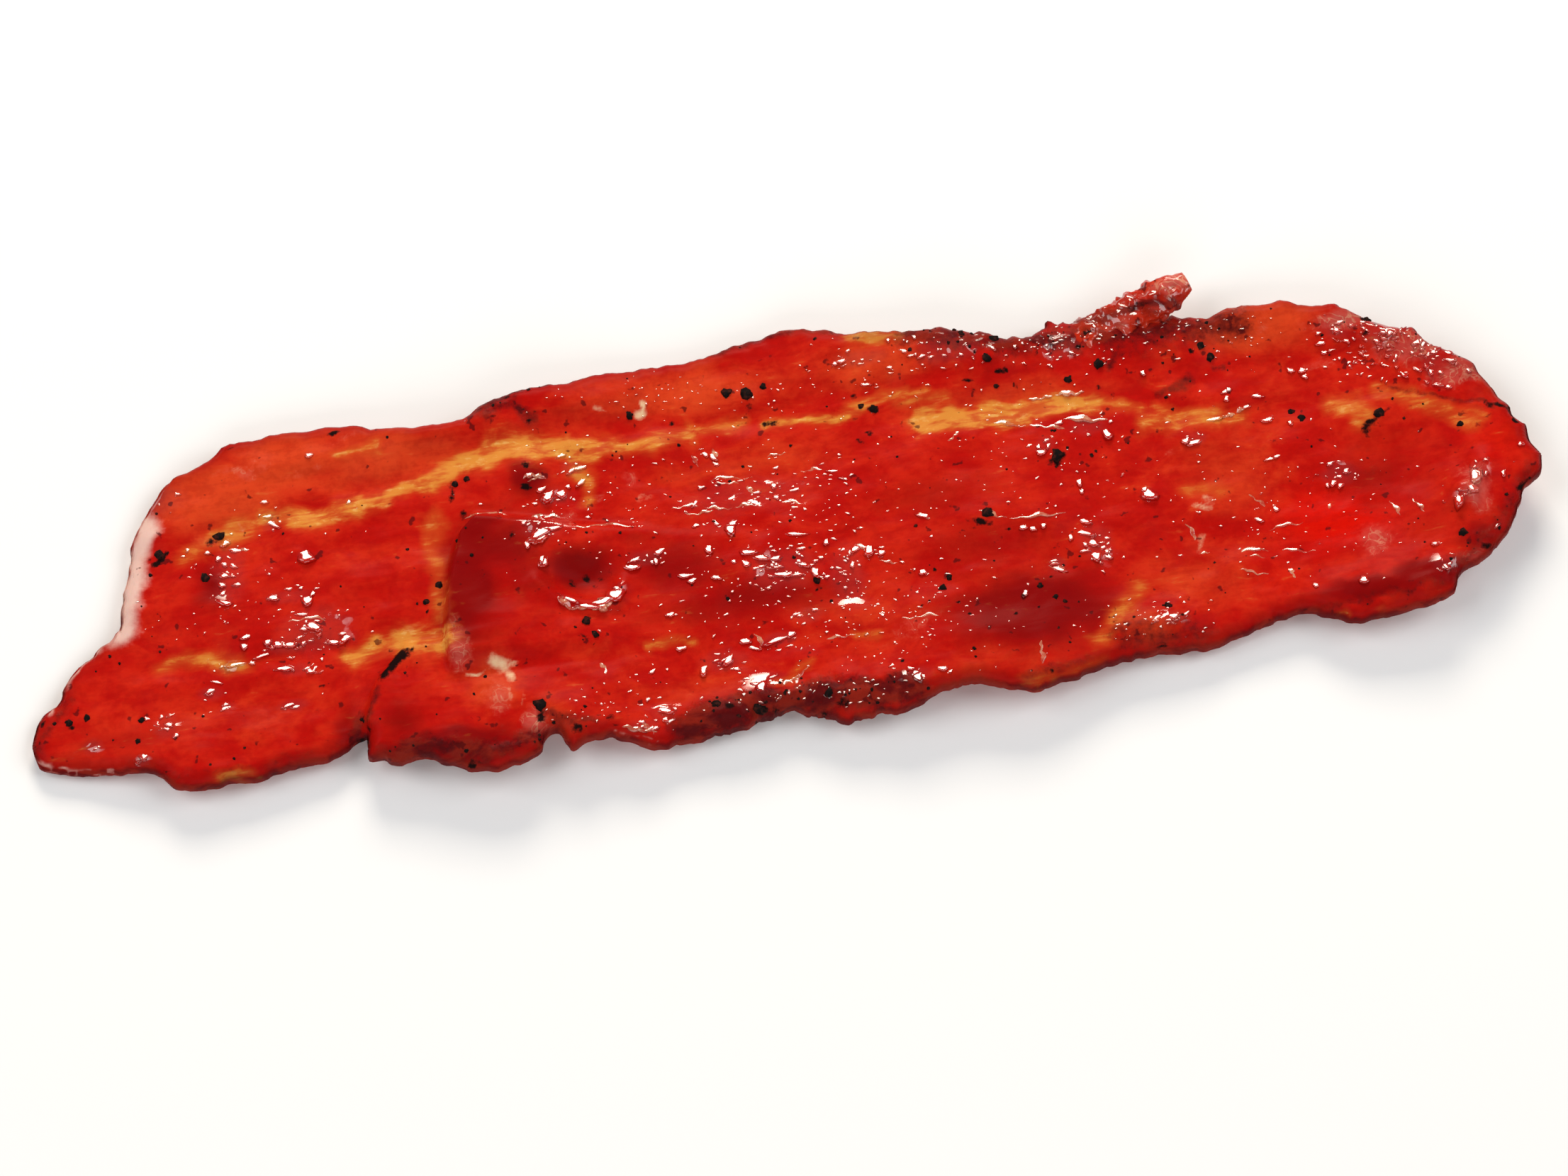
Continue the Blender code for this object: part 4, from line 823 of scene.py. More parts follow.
def glazedMeat(name):
    # colour is laid in order: red meat, orange, deep and scarlet zones, fat, pink, the pale rim with its
    # painted sheen, painted shade near the rim, crust, then char; the deep and crust layers also paint shade
    # in a few hollows
    look = meatLook
    tones = {key: tone(*value, look["light"]) for key, value in look.items() if isinstance(value, tuple)}
    recipe = Recipe(name)
    place = recipe.place()
    patches = recipe.noise(place, 120.0, 3.0, 0.55, 0.6)
    mottle = recipe.noise(recipe.place((0.6, 1.0, 1.0)), 330.0, 4.0, 0.6, 0.5)
    speckle = recipe.noise(place, 1300.0, 3.0, 0.6)
    fibre = recipe.noise(recipe.place((0.2, 1.0, 1.0)), 1300.0, 3.0, 0.6, 0.4)
    grains = {"patches": patches, "mottle": mottle, "speckle": speckle, "fibre": fibre}

    def share(mask, start, end, most=1.0, **weights):
        # how much of a layer shows: its mask, roughened by grains, on a ramp up to the most
        value = recipe.mask(mask)
        for grain, weight in weights.items():
            value = value + (grains[grain] - 0.5) * weight
        return recipe.ramp(value, start, end, 0.0, most)

    redShare = recipe.ramp(mottle * 0.6 + patches * 0.4, 0.40, 0.62)
    colour = recipe.blend(redShare, tones["red"], tones["brightRed"])
    colour = recipe.blend(share("orange", 0.15, 1.0, mottle=0.7, patches=0.4), colour, tones["orange"])
    colour = recipe.blend(share("scarlet", 0.1, 0.9), colour, tones["scarlet"])
    colour = recipe.blend(share("deep", 0.1, 0.9, 0.9, mottle=0.7), colour, tones["deep"])
    darkShare = recipe.ramp(speckle * 0.45 + fibre * 0.35 + mottle * 0.2, 0.40, 0.56, 0.24, 0.0)
    colour = recipe.blend(darkShare, colour, tones["darkRed"])
    colour = recipe.blend(share("fringe", 0.3, 1.1, 0.8, mottle=0.7, fibre=0.3), colour, tones["fringe"])
    amberShare = recipe.ramp(fibre * 0.4 + mottle * 0.6, 0.42, 0.56)
    amber = recipe.blend(amberShare, tones["darkAmber"], tones["amber"])
    veinShare = recipe.ramp(fibre * 0.6 + speckle * 0.4, 0.54, 0.66, 0.0, 0.7)
    amber = recipe.blend(veinShare, amber, tones["paleAmber"])
    colour = recipe.blend(share("fat", 0.2, 1.05, 0.88, fibre=1.1, mottle=1.1), colour, amber)
    pinkShare = share("pink", 0.25, 1.0, 0.8, mottle=0.7, speckle=0.5)
    colour = recipe.blend(pinkShare, colour, tones["pink"])
    strand = recipe.noise(place, 520.0, 2.0, 0.5, 1.2) - 0.5
    strandShare = recipe.ramp(strand * strand, 0.0, 0.0012, 0.55, 0.0) * pinkShare
    colour = recipe.blend(strandShare, colour, tones["cream"])
    colour = recipe.blend(share("cream", 0.3, 0.95, speckle=0.6, mottle=0.5), colour, tones["cream"])
    # pale rim: the fat's own pale colour with a painted sheen of the rolled edge
    paleShare = share("rim", 0.2, 1.0, 0.92, mottle=0.9, speckle=0.3)
    colour = recipe.blend(paleShare, colour, tones["rim"])
    shadeShare = share("shade", 0.3, 1.1, 0.5, mottle=0.7)
    colour = recipe.blend(shadeShare * (1.0 - paleShare), colour, tones["deep"])
    # crust, with the painted shade by the notch laid in the same colours
    crustAndShadeTone = recipe.blend(recipe.ramp(mottle, 0.42, 0.6), tones["crustAndShade"], tones["brownCrustAndShade"])
    crustAndShadeShare = share("crustAndShade", 0.3, 1.0, 0.92, speckle=0.9, mottle=0.6)
    colour = recipe.blend(crustAndShadeShare, colour, crustAndShadeTone)
    edgeShare = share("edge", 0.3, 0.95, 0.85, mottle=0.9)
    colour = recipe.blend(edgeShare * (1.0 - paleShare * 0.8), colour, crustAndShadeTone)
    fleck = recipe.ramp(recipe.noise(place, 560.0, 2.5, 0.6) + crustAndShadeShare * 0.06, 0.66, 0.71, 0.0, 0.75)
    colour = recipe.blend(fleck, colour, tones["crustAndShade"])
    charShare = share("char", 0.42, 0.86, speckle=1.3, mottle=0.8)
    colour = recipe.blend(charShare, colour, tones["char"])
    wet = recipe.mask("wet")
    ripple = recipe.noise(recipe.place((0.55, 1.0, 1.0)), 800.0, 2.0, 0.5, 0.8)
    height = ripple * (0.35 + wet * 0.65) + fibre * 0.1 + speckle * crustAndShadeShare
    bumpSockets = {"Strength": 0.5, "Distance": 0.00018, "Height": height}
    bump = recipe.add("ShaderNodeBump", {}, bumpSockets, output="Normal")
    shine = recipe.ramp(wet + (ripple - 0.5) * 0.6, 0.2, 0.8)
    rough = look["calmRoughness"] - shine * (look["calmRoughness"] - look["wetRoughness"]) + charShare * 0.2
    return recipe.finish({
        "Base Color": colour, "Roughness": rough, "Normal": bump, "Coat Weight": shine * (1.0 - charShare),
        "Coat Roughness": look["coatRoughness"], "Coat IOR": look["coatIor"],
        "Subsurface Weight": look["subsurface"], "Subsurface Scale": look["subsurfaceDepth"],
        "Subsurface Radius": (1.0, 0.25, 0.12), "IOR": 1.45, "Specular IOR Level": look["specularLevel"],
    })


def crumbMatter():
    # black pepper and burnt sugar: near black, browner in places, rough under a little glaze
    recipe = Recipe("crumbMatter")
    grain = recipe.noise(recipe.place(), 1600.0, 3.0, 0.6)
    colour = recipe.blend(recipe.ramp(grain, 0.45, 0.7), tone(13, 5, 4), tone(64, 22, 14))
    bumpSockets = {"Strength": 0.6, "Distance": 0.0002, "Height": grain}
    bump = recipe.add("ShaderNodeBump", {}, bumpSockets, output="Normal")
    return recipe.finish({"Base Color": colour, "Roughness": 0.8, "Normal": bump, "Specular IOR Level": 0.12})


meatMaterial = glazedMeat("glazedMeat")
crumbMaterial = crumbMatter()
print("stage: materials made")


# The slice

def easedShares(steps):
    # shares from 0 to 1, a blend of even steps and of a cosine that crowds both ends
    even = np.arange(steps + 1) / steps
    return 0.72 * even + 0.28 * (0.5 - 0.5 * np.cos(np.pi * even))


def makeSlice():
    # ribs from edge to edge carry the top and then the underside back, and rings join into a closed skin
    near, far = nearEdge[1:-1], farEdge[1:-1]
    sides = []
    for shares, onTop in (
        (easedShares(sliceForm["topSteps"]), True),
        (easedShares(sliceForm["underSteps"])[1:-1][::-1], False),
    ):
        x = near[:, 0:1] + (far[:, 0:1] - near[:, 0:1]) * shares
        y = near[:, 1:2] + (far[:, 1:2] - near[:, 1:2]) * shares
        sides.append(np.stack([x, y, np.maximum(surfaceHeight(x, y, onTop), 0.0)], axis=-1))
    rings = np.concatenate(sides, axis=1)
    tips = np.array([farEdge[0], farEdge[-1]])
    tips = np.column_stack([tips, surfaceHeight(*tips.T)])
    points = np.vstack([tips[0], rings.reshape(-1, 3), tips[1]])
    return meshPiece("jerkyMeat", points, tubeFaces(*rings.shape[:2]), meatMaterial, surfaceMasks(*points.T))


jerkyMeat = makeSlice()
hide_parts("jerky_slice")
print("stage: slice made,", len(jerkyMeat.data.polygons), "triangles")


# The torn shred

shredForm = {
    # x, y, z, half width and half height along its spine, root first
    "spine": (
        (34, 19.2, 2.8, 1.6, 1.1), (38.5, 19.8, 3.4, 2.1, 1.4), (42.5, 20.9, 4.1, 2.3, 1.5),
        (46.1, 22, 4.8, 2.5, 1.5), (48.9, 23, 5.3, 2.2, 1.4), (50.8, 23.9, 5.6, 1.6, 1.2),
        (51.8, 24.3, 5.7, 1.2, 0.8),
    ),
    "rings": 110,
    "sides": 56,
    "lumps": 0.22,
    "crags": 0.15,
    "tipSpan": (46.0, 51.0),
    "seed": 71,
}


def makeShred():
    # ellipses carried along the spine, their radius swollen by lumps and fine crags
    form, seed = shredForm, shredForm["seed"]
    shares = (np.arange(form["rings"]) + 0.5) / form["rings"]
    curve = smoothPath(form["spine"])
    spine = alongPath(curve, shares)
    ahead = np.gradient(spine[:, :3], axis=0)
    ahead = ahead / np.linalg.norm(ahead, axis=1, keepdims=True)
    across = np.cross((0.0, 0.0, 1.0), ahead)
    across = across / np.linalg.norm(across, axis=1, keepdims=True)
    upward = np.cross(ahead, across)
    angle = 2 * np.pi * np.arange(form["sides"]) / form["sides"]
    along = spine[:, 0:1] + 0 * angle
    lumpy = 1.0 + form["lumps"] * latticeNoise(2.0 * along, 3.0 * np.cos(angle) + 0 * along, 2.0, seed)
    craggy = latticeNoise(along, 2.2 * angle + 0 * along, 0.9, seed + 1)
    craggy = craggy + 0.7 * latticeNoise(along, 2.2 * angle + 40.0 + 0 * along, 0.45, seed + 2)
    fadeTip = np.sin(np.pi * np.clip(shares, 0.02, 0.98))[:, None] ** 0.3
    swell = lumpy + form["crags"] * craggy * fadeTip
    wide = spine[:, 3:4] * np.cos(angle) * swell
    tall = spine[:, 4:5] * np.sin(angle) * swell
    rings = spine[:, None, :3] + wide[..., None] * across[:, None] + tall[..., None] * upward[:, None]
    points = np.vstack([curve[0, :3], rings.reshape(-1, 3), curve[-1, :3]])
    masks = surfaceMasks(*points.T)
    patches = latticeNoise(*points[:, :2].T, 1.4, seed + 3)
    towardsTip = smoothRamp(*form["tipSpan"], points[:, 0])
    masks["crustAndShade"] = 0.4 + 0.3 * patches - 0.2 * towardsTip
    masks["wet"] = 0.5 + 0.5 * latticeNoise(*points[:, :2].T, 0.7, seed + 4)
    masks["orange"] = np.full(len(points), 0.55)
    masks["pink"] = 0.25 - 0.4 * patches + 0.35 * towardsTip
    faces = tubeFaces(form["rings"], form["sides"])[:, ::-1]
    return meshPiece("tornShred", points, faces, meatMaterial, masks)


makeShred()
print("stage: shred made")


# Glaze beads and threads, the raised wet drops that catch the light

beadForm = {
    "around": 11,
    "rings": (0.45, 0.82, 1.0),
    "spread": 0.75,
    "sizes": (0.4, 0.8, 1.6),  # least share of the radius, how much more, and the power of the draw
    "stretch": (0.9, 2.4),
    "turn": 0.45,
    "tight": 0.3,  # looseness of the single glints
    "wobble": ((2, 0.30), (3, 0.24), (5, 0.14)),  # waves round the bead, depth
    "height": 0.11,  # of the bead's radius
    "tightHeight": 0.18,
    "dome": 0.06,
    "lean": 0.318,  # slope of the bead's crown, down towards the far edge
    "leanSpread": 0.14,
    "sideLean": 0.05,
    "longer": 1.12,
    "wider": 1.35,
    "sink": 0.12,
    "rimSink": 0.03,
    "rimGap": 0.8,
    "seed": 301,
    "masks": {"deepShare": 0.5, "wet": 1.4},
}


def beadSpots():
    # x, y, half width, stretch, turn and looseness of each bead: seeded normal draws round every cluster,
    # with sizes on a skewed spread, then the single glints, which are set tight
    form, spots = beadForm, []
    draw = np.random.default_rng(form["seed"])
    least, more, power = form["sizes"]
    for centreX, centreY, spreadX, spreadY, count, radius in (*glintClusters, *glintSprinkles):
        x = centreX + form["spread"] * spreadX * draw.normal(size=count)
        y = centreY + form["spread"] * spreadY * draw.normal(size=count)
        size = radius * (least + more * draw.uniform(size=count) ** power)
        stretch, turn = draw.uniform(*form["stretch"], count), draw.normal(0.0, form["turn"], count)
        spots.append(np.stack([x, y, size, stretch, turn, np.ones(count)], axis=-1))
    x, y, halfLength, halfWidth, turn = np.array(glintFlares).T
    halfLength, halfWidth = form["longer"] * halfLength, form["wider"] * halfWidth
    loose = np.full(len(x), form["tight"])
    spots.append(np.stack([x, y, halfWidth, halfLength / halfWidth, np.radians(turn), loose], axis=-1))
    spots = np.vstack(spots)
    return spots[clearOfRim(*spots[:, :2].T, form["rimGap"])]


def makeBeads():
    # each bead is a lens: rings of a wobbly ellipse rise to a crown, and a point below closes it
    form, spots = beadForm, beadSpots()
    draw = np.random.default_rng(form["seed"] + 1)
    count, single = len(spots), (len(spots), 1, 1)
    angle = 2 * np.pi * np.arange(form["around"]) / form["around"]
    phases = draw.uniform(0, 2 * np.pi, (count, 3)).T[:, :, None, None]
    centreX, centreY, size, stretch, turn, loose = spots.T[:, :, None, None]
    wobble = 0.0
    for (waves, depth), phase in zip(form["wobble"], phases):
        wobble = wobble + depth * np.sin(waves * angle + phase)
    wobble = 1.0 + (0.5 + 0.5 * loose) * wobble
    shares = np.array([0.0, *form["rings"], 0.0])[:, None]
    flatX = shares * size * stretch * wobble * np.cos(angle)
    flatY = shares * size * wobble * np.sin(angle)
    shiftX = flatX * np.cos(turn) - flatY * np.sin(turn)
    shiftY = flatX * np.sin(turn) + flatY * np.cos(turn)
    x, y = centreX + shiftX, centreY + shiftY
    base = surfaceHeight(x, y)
    lean = form["lean"] * (1.0 + form["leanSpread"] * loose * draw.normal(size=single))
    lean = lean * shiftY + form["sideLean"] * loose * draw.normal(size=single) * shiftX
    crown = form["height"] + form["tightHeight"] * (1.0 - loose) + form["dome"] * (1.0 - shares**2)
    z = base[:, :1] + crown * size - lean
    z[:, -2] = base[:, -2] - form["rimSink"]
    z[:, -1] = base[:, 0] - form["sink"]
    rings = np.stack([x, y, z], axis=-1)
    shells = np.concatenate([rings[:, 0, :1], rings[:, 1:-1].reshape(count, -1, 3), rings[:, -1, :1]], axis=1)
    pattern = tubeFaces(len(form["rings"]), form["around"])[:, ::-1]
    return shellPiece("glazeBeads", shells, pattern, meatMaterial, form["masks"])


glazeBeads = makeBeads()
print("stage: glaze beads made,", len(glazeBeads.data.polygons), "triangles")

threadForm = {
    "steps": 18,
    "across": (-1.0, -0.72, -0.3, 0.15, 0.55, 0.85, 1.0),  # places of the section's points, of the half width
    "swell": 1.5,
    "height": 0.20,
    "lean": 0.318,
    "swings": ((0.035, 3.0), (0.025, 6.3)),  # depth of each sine, and how many half turns it makes
    "swingReach": 4.0,
    "bulge": (0.35, 9.0),
    "edgeSink": 0.03,
    "tipSink": 0.05,
    "sink": 0.12,
    "seed": 402,
    "masks": {"deepShare": 0.5, "wet": 1.4, "cream": 0.5},
    # named threads: start x, start y, end x, end y, half width, bow to the left of its way
    "named": (
        (-59.6, -3.9, -54.8, -4.1, 0.17, 0.4), (-65.2, 6.8, -62.9, 6.4, 0.17, 0),
        (-67.9, -7.9, -64.9, -8.2, 0.21, 0), (-37.7, 6, -32.3, 5.8, 0.13, 0.2),
        (-29.7, 9.7, -27.2, 10, 0.17, 0.3), (-30.2, 10.2, -27.7, 10.2, 0.28, 0.3),
        (-13.5, 4.3, -9.9, 4.3, 0.14, 0.2), (-9.9, 4.3, -6.1, 3.5, 0.14, -0.2),
        (-6.1, 3.5, -3, 3.3, 0.14, 0.2), (-1.2, 3.5, 3.4, 2.6, 0.14, 0.2), (-8.9, 7.5, -2.8, 7, 0.14, 0.2),
        (-7.9, 6.9, -4.8, 6.6, 0.14, 0), (-12, 3.6, -8.3, 3.5, 0.14, -0.2), (-24.9, 3, -17.2, 2.5, 0.14, 0.3),
        (-29.8, 5, -26.4, 5.1, 0.28, 0.2), (-1.3, 9.9, 1.2, 9.9, 0.14, 0), (2.4, 7.2, 5.4, 6.9, 0.14, 0.1),
        (-22.7, -22.7, -18.2, -23.2, 0.28, -0.4), (-20.5, -22.4, -18.7, -23.8, 0.18, -0.3),
        (-23.7, -16, -24.3, -14.3, 0.18, -0.3), (-2.1, -20.3, 0, -17.6, 0.18, 0.4),
        (-3.8, -20.2, -1.2, -18.7, 0.18, 0.3), (-28.1, -5.9, -24.5, -7.4, 0.37, -0.4),
        (-24.5, -7.4, -21.7, -6.7, 0.5, -0.4), (1.8, -14.9, 6, -14.9, 0.14, 0.2),
        (-5.8, -12.5, -5.3, -15.2, 0.18, 0.3), (-9.8, 11.7, -9, 9.3, 0.18, -0.3),
        (-7.3, 11.9, -6.8, 9.6, 0.18, -0.2), (-4.1, 6.4, -3, 5, 0.18, -0.3),
        (30.5, 12.3, 33.6, 12.3, 0.19, 0.1), (33.8, 12.6, 37.4, 12.3, 0.3, 0),
        (34.1, 9.3, 39.6, 8.4, 0.34, 0), (25.3, 10.2, 30, 8.9, 0.19, -0.2), (30, 8.8, 34.5, 7.6, 0.19, 0.2),
        (21.9, -1.4, 25.6, -3.1, 0.19, -0.2), (25.6, -3.1, 32.7, -3, 0.19, -0.3),
        (14.8, -0.8, 16.6, -1.8, 0.19, 0.2), (11.1, -14.1, 16, -14.3, 0.14, 0.2),
        (21.7, 9.2, 20.1, 8, 0.14, 0.2), (29.4, -9.4, 31.4, -10.8, 0.24, 0.2),
        (26.7, -19.3, 26.4, -22.4, 0.19, 0.2), (6.8, -4, 9.9, -5, 0.19, 0.5),
        (9.8, -5.7, 12.3, -6.6, 0.14, -0.2), (53, 7.1, 54.8, 7.4, 0.26, 0.1),
        (54.8, 7.4, 56.5, 8.1, 0.26, 0.2), (55.4, -8.2, 60.6, -7.9, 0.15, 0.2),
        (50.7, -10.4, 56.4, -10.9, 0.15, 0.1), (56.4, -10.9, 61.2, -11.9, 0.15, 0.1),
        (52.5, -11.1, 56.7, -11.9, 0.11, -0.1), (51.4, -12.7, 55, -13.9, 0.15, -0.1),
        (54.3, -3.3, 56.2, -5.5, 0.15, 0.2), (70.7, -6.6, 71.6, -9.2, 0.19, 0.1),
        (73.2, -7.1, 74.3, -9.4, 0.19, 0.1), (46.3, -5.4, 47.3, -9.3, 0.15, 0.2),
        (57.2, -13.5, 57.8, -15, 0.19, 0.2), (47, -10.2, 48.9, -10.1, 0.11, 0.1),
        (63.5, -7.1, 64, -5.3, 0.11, 0.1),
    ),
}


def makeThreads():
    # a low ridge along each wavy line that lies on the slice, clear of its rim: its width swells mid-way,
    # and the line swings by two sines
    form, rows = threadForm, np.array(threadForm["named"])
    clear = [clearOfRim(*ends.T, beadForm["rimGap"]) for ends in (rows[:, 0:2], rows[:, 2:4])]
    rows = rows[clear[0] & clear[1]]
    draw = np.random.default_rng(form["seed"])
    count, steps, places = len(rows), form["steps"], np.array([*form["across"], 0.0])
    share = (np.arange(steps) + 0.5) / steps
    start, end = rows[:, 0:2], rows[:, 2:4]
    run = end - start
    length = np.linalg.norm(run, axis=1, keepdims=True)
    side = np.stack([-run[:, 1], run[:, 0]], axis=-1) / length
    phase = draw.uniform(0, 2 * np.pi, (count, 2))
    swing = rows[:, 5:6] * np.sin(np.pi * share)
    for (depth, turns), late in zip(form["swings"], phase.T):
        reach = depth * np.minimum(length, form["swingReach"])
        swing = swing + reach * np.sin(np.pi * share * turns + late[:, None])
    spine = start[:, None] + run[:, None] * share[None, :, None] + side[:, None] * swing[..., None]
    ahead = np.gradient(spine, axis=1)
    ahead = ahead / np.linalg.norm(ahead, axis=-1, keepdims=True)
    sideways = np.stack([-ahead[..., 1], ahead[..., 0]], axis=-1)
    depth, turns = form["bulge"]
    bulge = np.sin(np.pi * share) ** 0.5 * (1.0 + depth * np.sin(turns * share + phase[:, 0:1]))
    width = (form["swell"] * rows[:, 4:5] * bulge)[..., None]
    x = spine[..., 0:1] + sideways[..., 0:1] * width * places
    y = spine[..., 1:2] + sideways[..., 1:2] * width * places
    ground = surfaceHeight(spine[..., 0], spine[..., 1])[..., None]
    rise = form["height"] * width - form["lean"] * (y - spine[..., 1:2])
    z = ground + rise * (1.0 - places**6) - form["edgeSink"]
    z[..., -1] = ground[..., 0] - form["sink"]
    rings = np.stack([x, y, z], axis=-1).reshape(count, -1, 3)
    first, last = spine[:, 0] - 0.5 * run / steps, spine[:, -1] + 0.5 * run / steps
    startHeight, endHeight = (surfaceHeight(*tip.T) - form["tipSink"] for tip in (start, end))
    first, last = np.column_stack([first, startHeight]), np.column_stack([last, endHeight])
    shells = np.concatenate([first[:, None], rings, last[:, None]], axis=1)
    return shellPiece("glazeThreads", shells, tubeFaces(steps, len(places)), meatMaterial, form["masks"])


glazeThreads = makeThreads()
print("stage: glaze threads made,", len(glazeThreads.data.polygons), "triangles")


# Pepper and burnt sugar crumbs

crumbForm = {
    # x, y, spread, count and crumb radius
    "clusters": (
        (-73.6, 7.2, 0.9, 2, 0.7), (-66.4, 8.7, 0.8, 2, 1), (-68.6, 3.6, 1.2, 2, 0.7),
        (-86, -12.3, 1.6, 3, 0.6), (-77.6, -13.4, 2.4, 2, 0.5), (-38.2, 10.6, 1.8, 3, 0.6),
        (-43.2, -4, 1.4, 2, 0.5), (-25.2, -9.2, 1.3, 3, 0.7), (-31.8, -19.2, 0.6, 2, 1),
        (-16.6, 17.4, 0.8, 2, 0.7), (-2.4, 18, 1.8, 4, 0.8), (12.2, 13.6, 1.4, 3, 0.7),
        (2.4, -7.2, 0.7, 2, 0.7), (16.6, -10.8, 1.8, 3, 0.6), (32.8, 4.4, 0.5, 2, 1),
        (23.4, -2.4, 1.4, 3, 0.8), (26.4, 17.6, 2.6, 5, 0.8), (39.6, 15.8, 3.2, 5, 0.7),
        (45.4, 21.6, 0.9, 2, 1.1), (52, 16.4, 1.8, 4, 0.7), (28, -12, 2, 3, 0.5), (42.4, -16.6, 2, 3, 0.7),
        (71.3, 4.3, 1.4, 2, 0.8), (62.4, 5.4, 1.8, 2, 0.5), (80.6, 1, 1.6, 2, 0.5), (78, -13, 1.8, 2, 0.7),
        (-6.5, -22.4, 1.2, 2, 0.8), (1.6, -22, 1.2, 2, 0.8), (-11.5, -21.4, 1, 1, 0.8),
        (72.3, 16.4, 1.2, 2, 0.6),
    ),
    "sink": 0.24,
    "flatness": 0.62,
    "push": (0.66, 1.24),  # of the crumb's radius
    "small": 330,  # fine specks over the whole slice, too small for the solid
    "smallRadii": (0.10, 0.30),
    "smallGap": 0.5,
    "rings": 5,
    "around": 8,
}


def crumbPlaces():
    # seeded draws round each cluster's middle, kept apart, as the solid's crumbs are
    draw = np.random.default_rng(plan["seed"] + 50)
    places = []
    for centreX, centreY, spread, count, radius in crumbForm["clusters"]:
        shifts = spread * draw.uniform(-1.4, 1.4, (count, 2))
        shifts[0] = 0.0
        sizes = radius * draw.uniform(0.75, 1.1, count) * (1.0 - 0.08 * np.arange(count))
        for (shiftX, shiftY), size in zip(shifts, sizes):
            x, y = centreX + shiftX, centreY + shiftY
            if all(np.hypot(x - other[0], y - other[1]) > size + other[2] + 0.4 for other in places):
                places.append((x, y, size))
    return np.array(places)


def speckPlaces():
    # even random draws over the plan, kept where the crust is strong or by a small chance
    draw = np.random.default_rng(plan["seed"] + 70)
    spots = draw.uniform((-88.0, -24.0), (88.0, 25.0), (crumbForm["small"] * 9, 2))
    likely = 0.05 + 0.9 * crustAndShadeField(*spots.T) ** 2
    kept = spots[draw.uniform(size=len(spots)) < likely]
    kept = kept[clearOfRim(*kept.T, crumbForm["smallGap"])][: crumbForm["small"]]
    return np.column_stack([kept, draw.uniform(*crumbForm["smallRadii"], len(kept))])


def makeCrumbs():
    # each crumb is a ball of rings whose every point is pushed in or out by its own draw
    form, spots = crumbForm, np.vstack([crumbPlaces(), speckPlaces()])
    draw = np.random.default_rng(plan["seed"] + 80)
    count, rings, around = len(spots), form["rings"], form["around"]
    tilt = np.pi * (np.arange(rings)[:, None] + 1) / (rings + 1)
    angle = 2 * np.pi * np.arange(around) / around
    push = draw.uniform(*form["push"], (count, rings, around)) * spots[:, 2][:, None, None]
    angle = angle + draw.uniform(0, 2 * np.pi, count)[:, None, None]
    x = push * np.sin(tilt) * np.cos(angle)
    y = push * np.sin(tilt) * np.sin(angle)
    z = push * np.cos(tilt) * form["flatness"]
    ground = surfaceHeight(*spots[:, :2].T) - form["sink"] * spots[:, 2]
    pole = np.zeros((count, 1, 3))
    pole[:, 0, 2] = spots[:, 2] * form["flatness"]
    shells = np.concatenate([pole, np.stack([x, y, z], axis=-1).reshape(count, -1, 3), -pole], axis=1)
    shells = shells + np.column_stack([spots[:, :2], ground])[:, None]
    return shellPiece("burntCrumbs", shells, tubeFaces(rings, around)[:, ::-1], crumbMaterial)


makeCrumbs()
print("stage: crumbs made")


# Floor, lights and camera

studio = {
    "floorSize": 3.0,
    "floorTone": (246, 246, 246),
    "worldStrength": 0.13,
    "glintBox": {"azimuth": 4.0, "elevation": 31.0, "distance": 0.9, "size": (0.42, 0.27), "watts": 6.0,
                 "tint": (1.0, 0.9, 0.76)},
    "leftBox": {"azimuth": -84.0, "elevation": 46.0, "distance": 1.2, "size": (0.8, 0.8), "watts": 5.6},
    "rightBox": {"azimuth": 92.0, "elevation": 46.0, "distance": 1.2, "size": (0.8, 0.8), "watts": 5.6},
    "frontBox": {"azimuth": 186.0, "elevation": 32.0, "distance": 1.3, "size": (1.2, 0.6), "watts": 6.0},
}

cameraSetup = {
    "imageWidth": 2212,
    "millimetresPerPixel": 0.0832,
    "distance": 600.0,
    "azimuth": -8.2,
    "elevation": 66.0,
    "aim": (-0.851, -7.065, 2.0),
    "sensor": 36.0,
}


def directionFrom(azimuth, elevation):
    # unit vector towards a place on the dome: azimuth 0 is straight behind the slice, turning to the right
    turn, rise = np.radians(azimuth), np.radians(elevation)
    return Vector((np.sin(turn) * np.cos(rise), np.cos(turn) * np.cos(rise), np.sin(rise)))


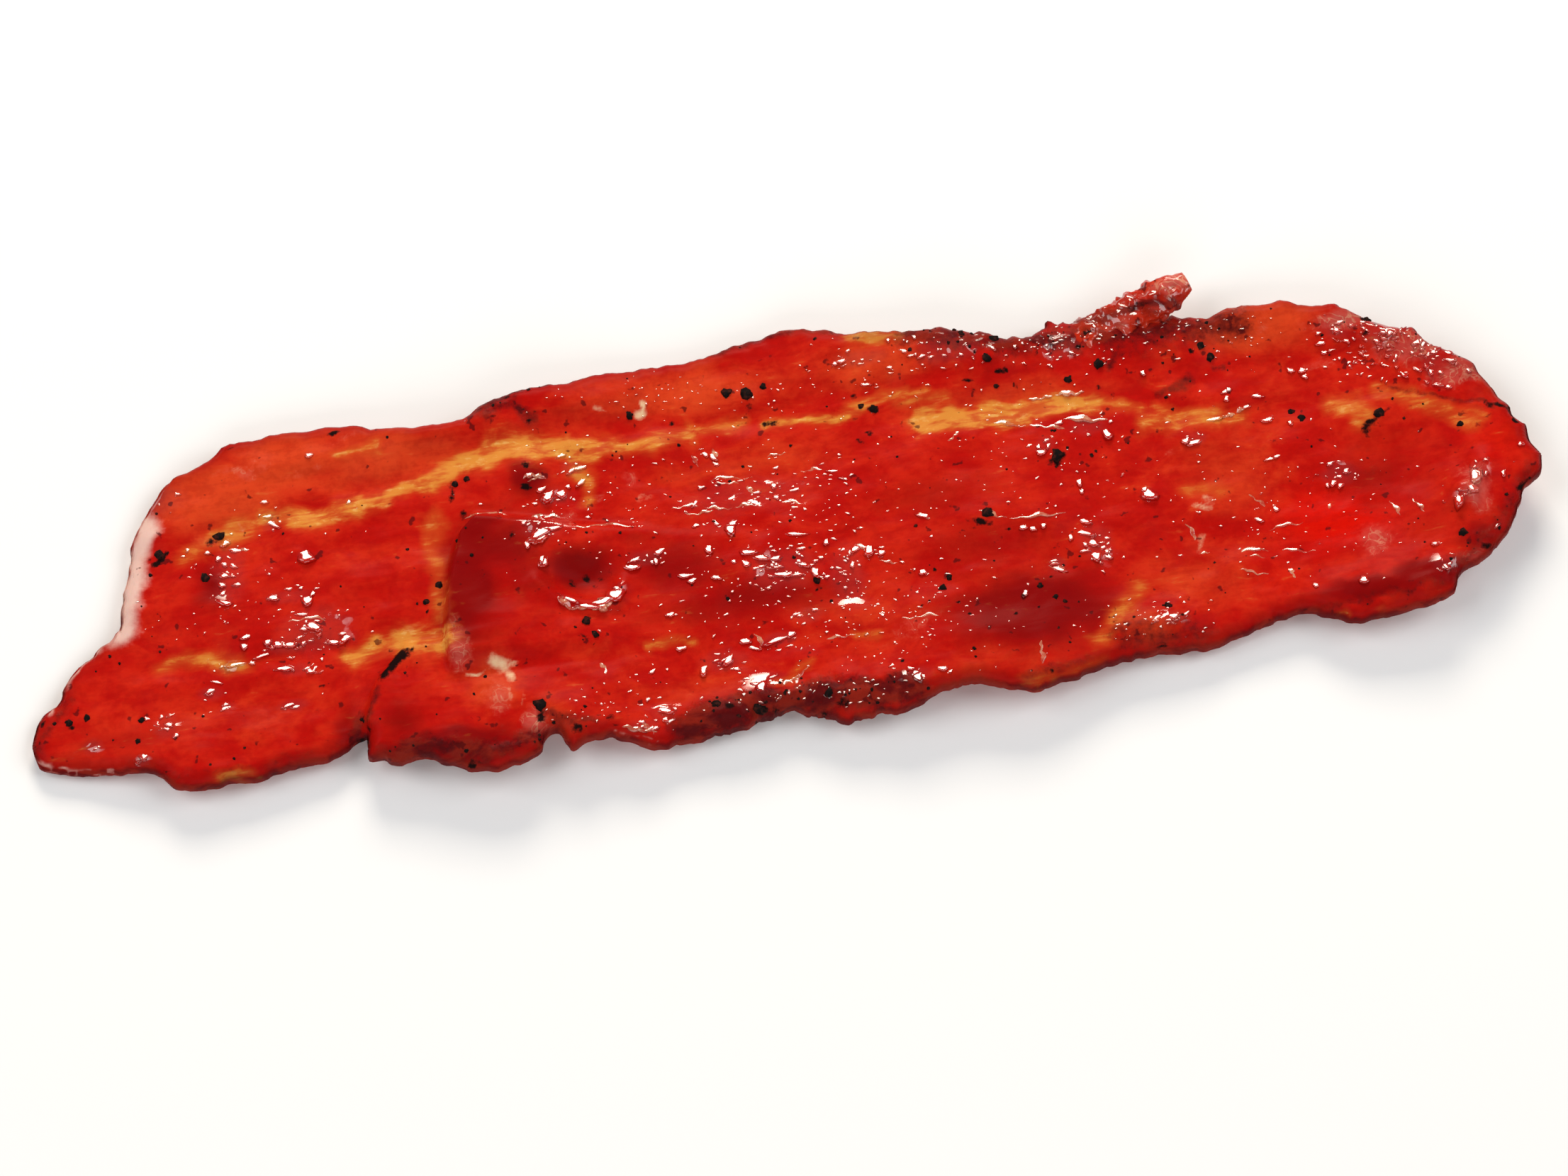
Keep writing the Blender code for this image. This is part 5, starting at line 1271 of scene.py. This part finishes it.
def addSoftBox(name, box):
    # a rectangle of light that faces the slice from its place on the dome
    light = bpy.data.lights.new(name, "AREA")
    light.shape = "RECTANGLE"
    light.size, light.size_y = box["size"]
    light.energy = box["watts"]
    light.color = box.get("tint", (1.0, 1.0, 1.0))
    lamp = bpy.data.objects.new(name, light)
    toLamp = directionFrom(box["azimuth"], box["elevation"])
    lamp.location = toLamp * box["distance"]
    lamp.rotation_mode = "QUATERNION"
    lamp.rotation_quaternion = toLamp.to_track_quat("Z", "Y")
    bpy.context.scene.collection.objects.link(lamp)


def addFloor():
    # a plain pale square under the slice
    half = studio["floorSize"] / 2
    mesh = bpy.data.meshes.new("floor")
    corners = [(-half, -half, 0), (half, -half, 0), (half, half, 0), (-half, half, 0)]
    mesh.from_pydata(corners, [], [(0, 1, 2, 3)])
    recipe = Recipe("paleFloor")
    mesh.materials.append(recipe.finish({"Base Color": tone(*studio["floorTone"]), "Roughness": 0.9}))
    floor = bpy.data.objects.new("floor", mesh)
    bpy.context.scene.collection.objects.link(floor)


def addWorld():
    # faint even light from all round
    world = bpy.data.worlds.new("studioAir")
    world.use_nodes = True
    world.node_tree.nodes["Background"].inputs["Color"].default_value = (1.0, 1.0, 1.0, 1.0)
    world.node_tree.nodes["Background"].inputs["Strength"].default_value = studio["worldStrength"]
    bpy.context.scene.world = world
    bpy.context.scene.view_settings.view_transform = "Standard"


def addCamera():
    # a long lens that frames the width of the picture at the aim's distance
    setup = cameraSetup
    camera = bpy.data.cameras.new("camera")
    camera.sensor_width = setup["sensor"]
    frameWidth = setup["imageWidth"] * setup["millimetresPerPixel"]
    camera.lens = setup["sensor"] * setup["distance"] / frameWidth
    camera.clip_start = 0.01
    camera.clip_end = 20.0
    turn, rise = np.radians(setup["azimuth"]), np.radians(setup["elevation"])
    back = Vector((np.sin(turn) * np.cos(rise), -np.cos(turn) * np.cos(rise), np.sin(rise)))
    holder = bpy.data.objects.new("camera", camera)
    holder.location = (Vector(setup["aim"]) + back * setup["distance"]) * plan["metre"]
    holder.rotation_mode = "QUATERNION"
    holder.rotation_quaternion = back.to_track_quat("Z", "Y")
    bpy.context.scene.collection.objects.link(holder)
    bpy.context.scene.camera = holder


addFloor()
for boxName in ("glintBox", "leftBox", "rightBox", "frontBox"):
    addSoftBox(boxName, studio[boxName])
addWorld()
addCamera()
print("stage: floor, lights and camera placed")
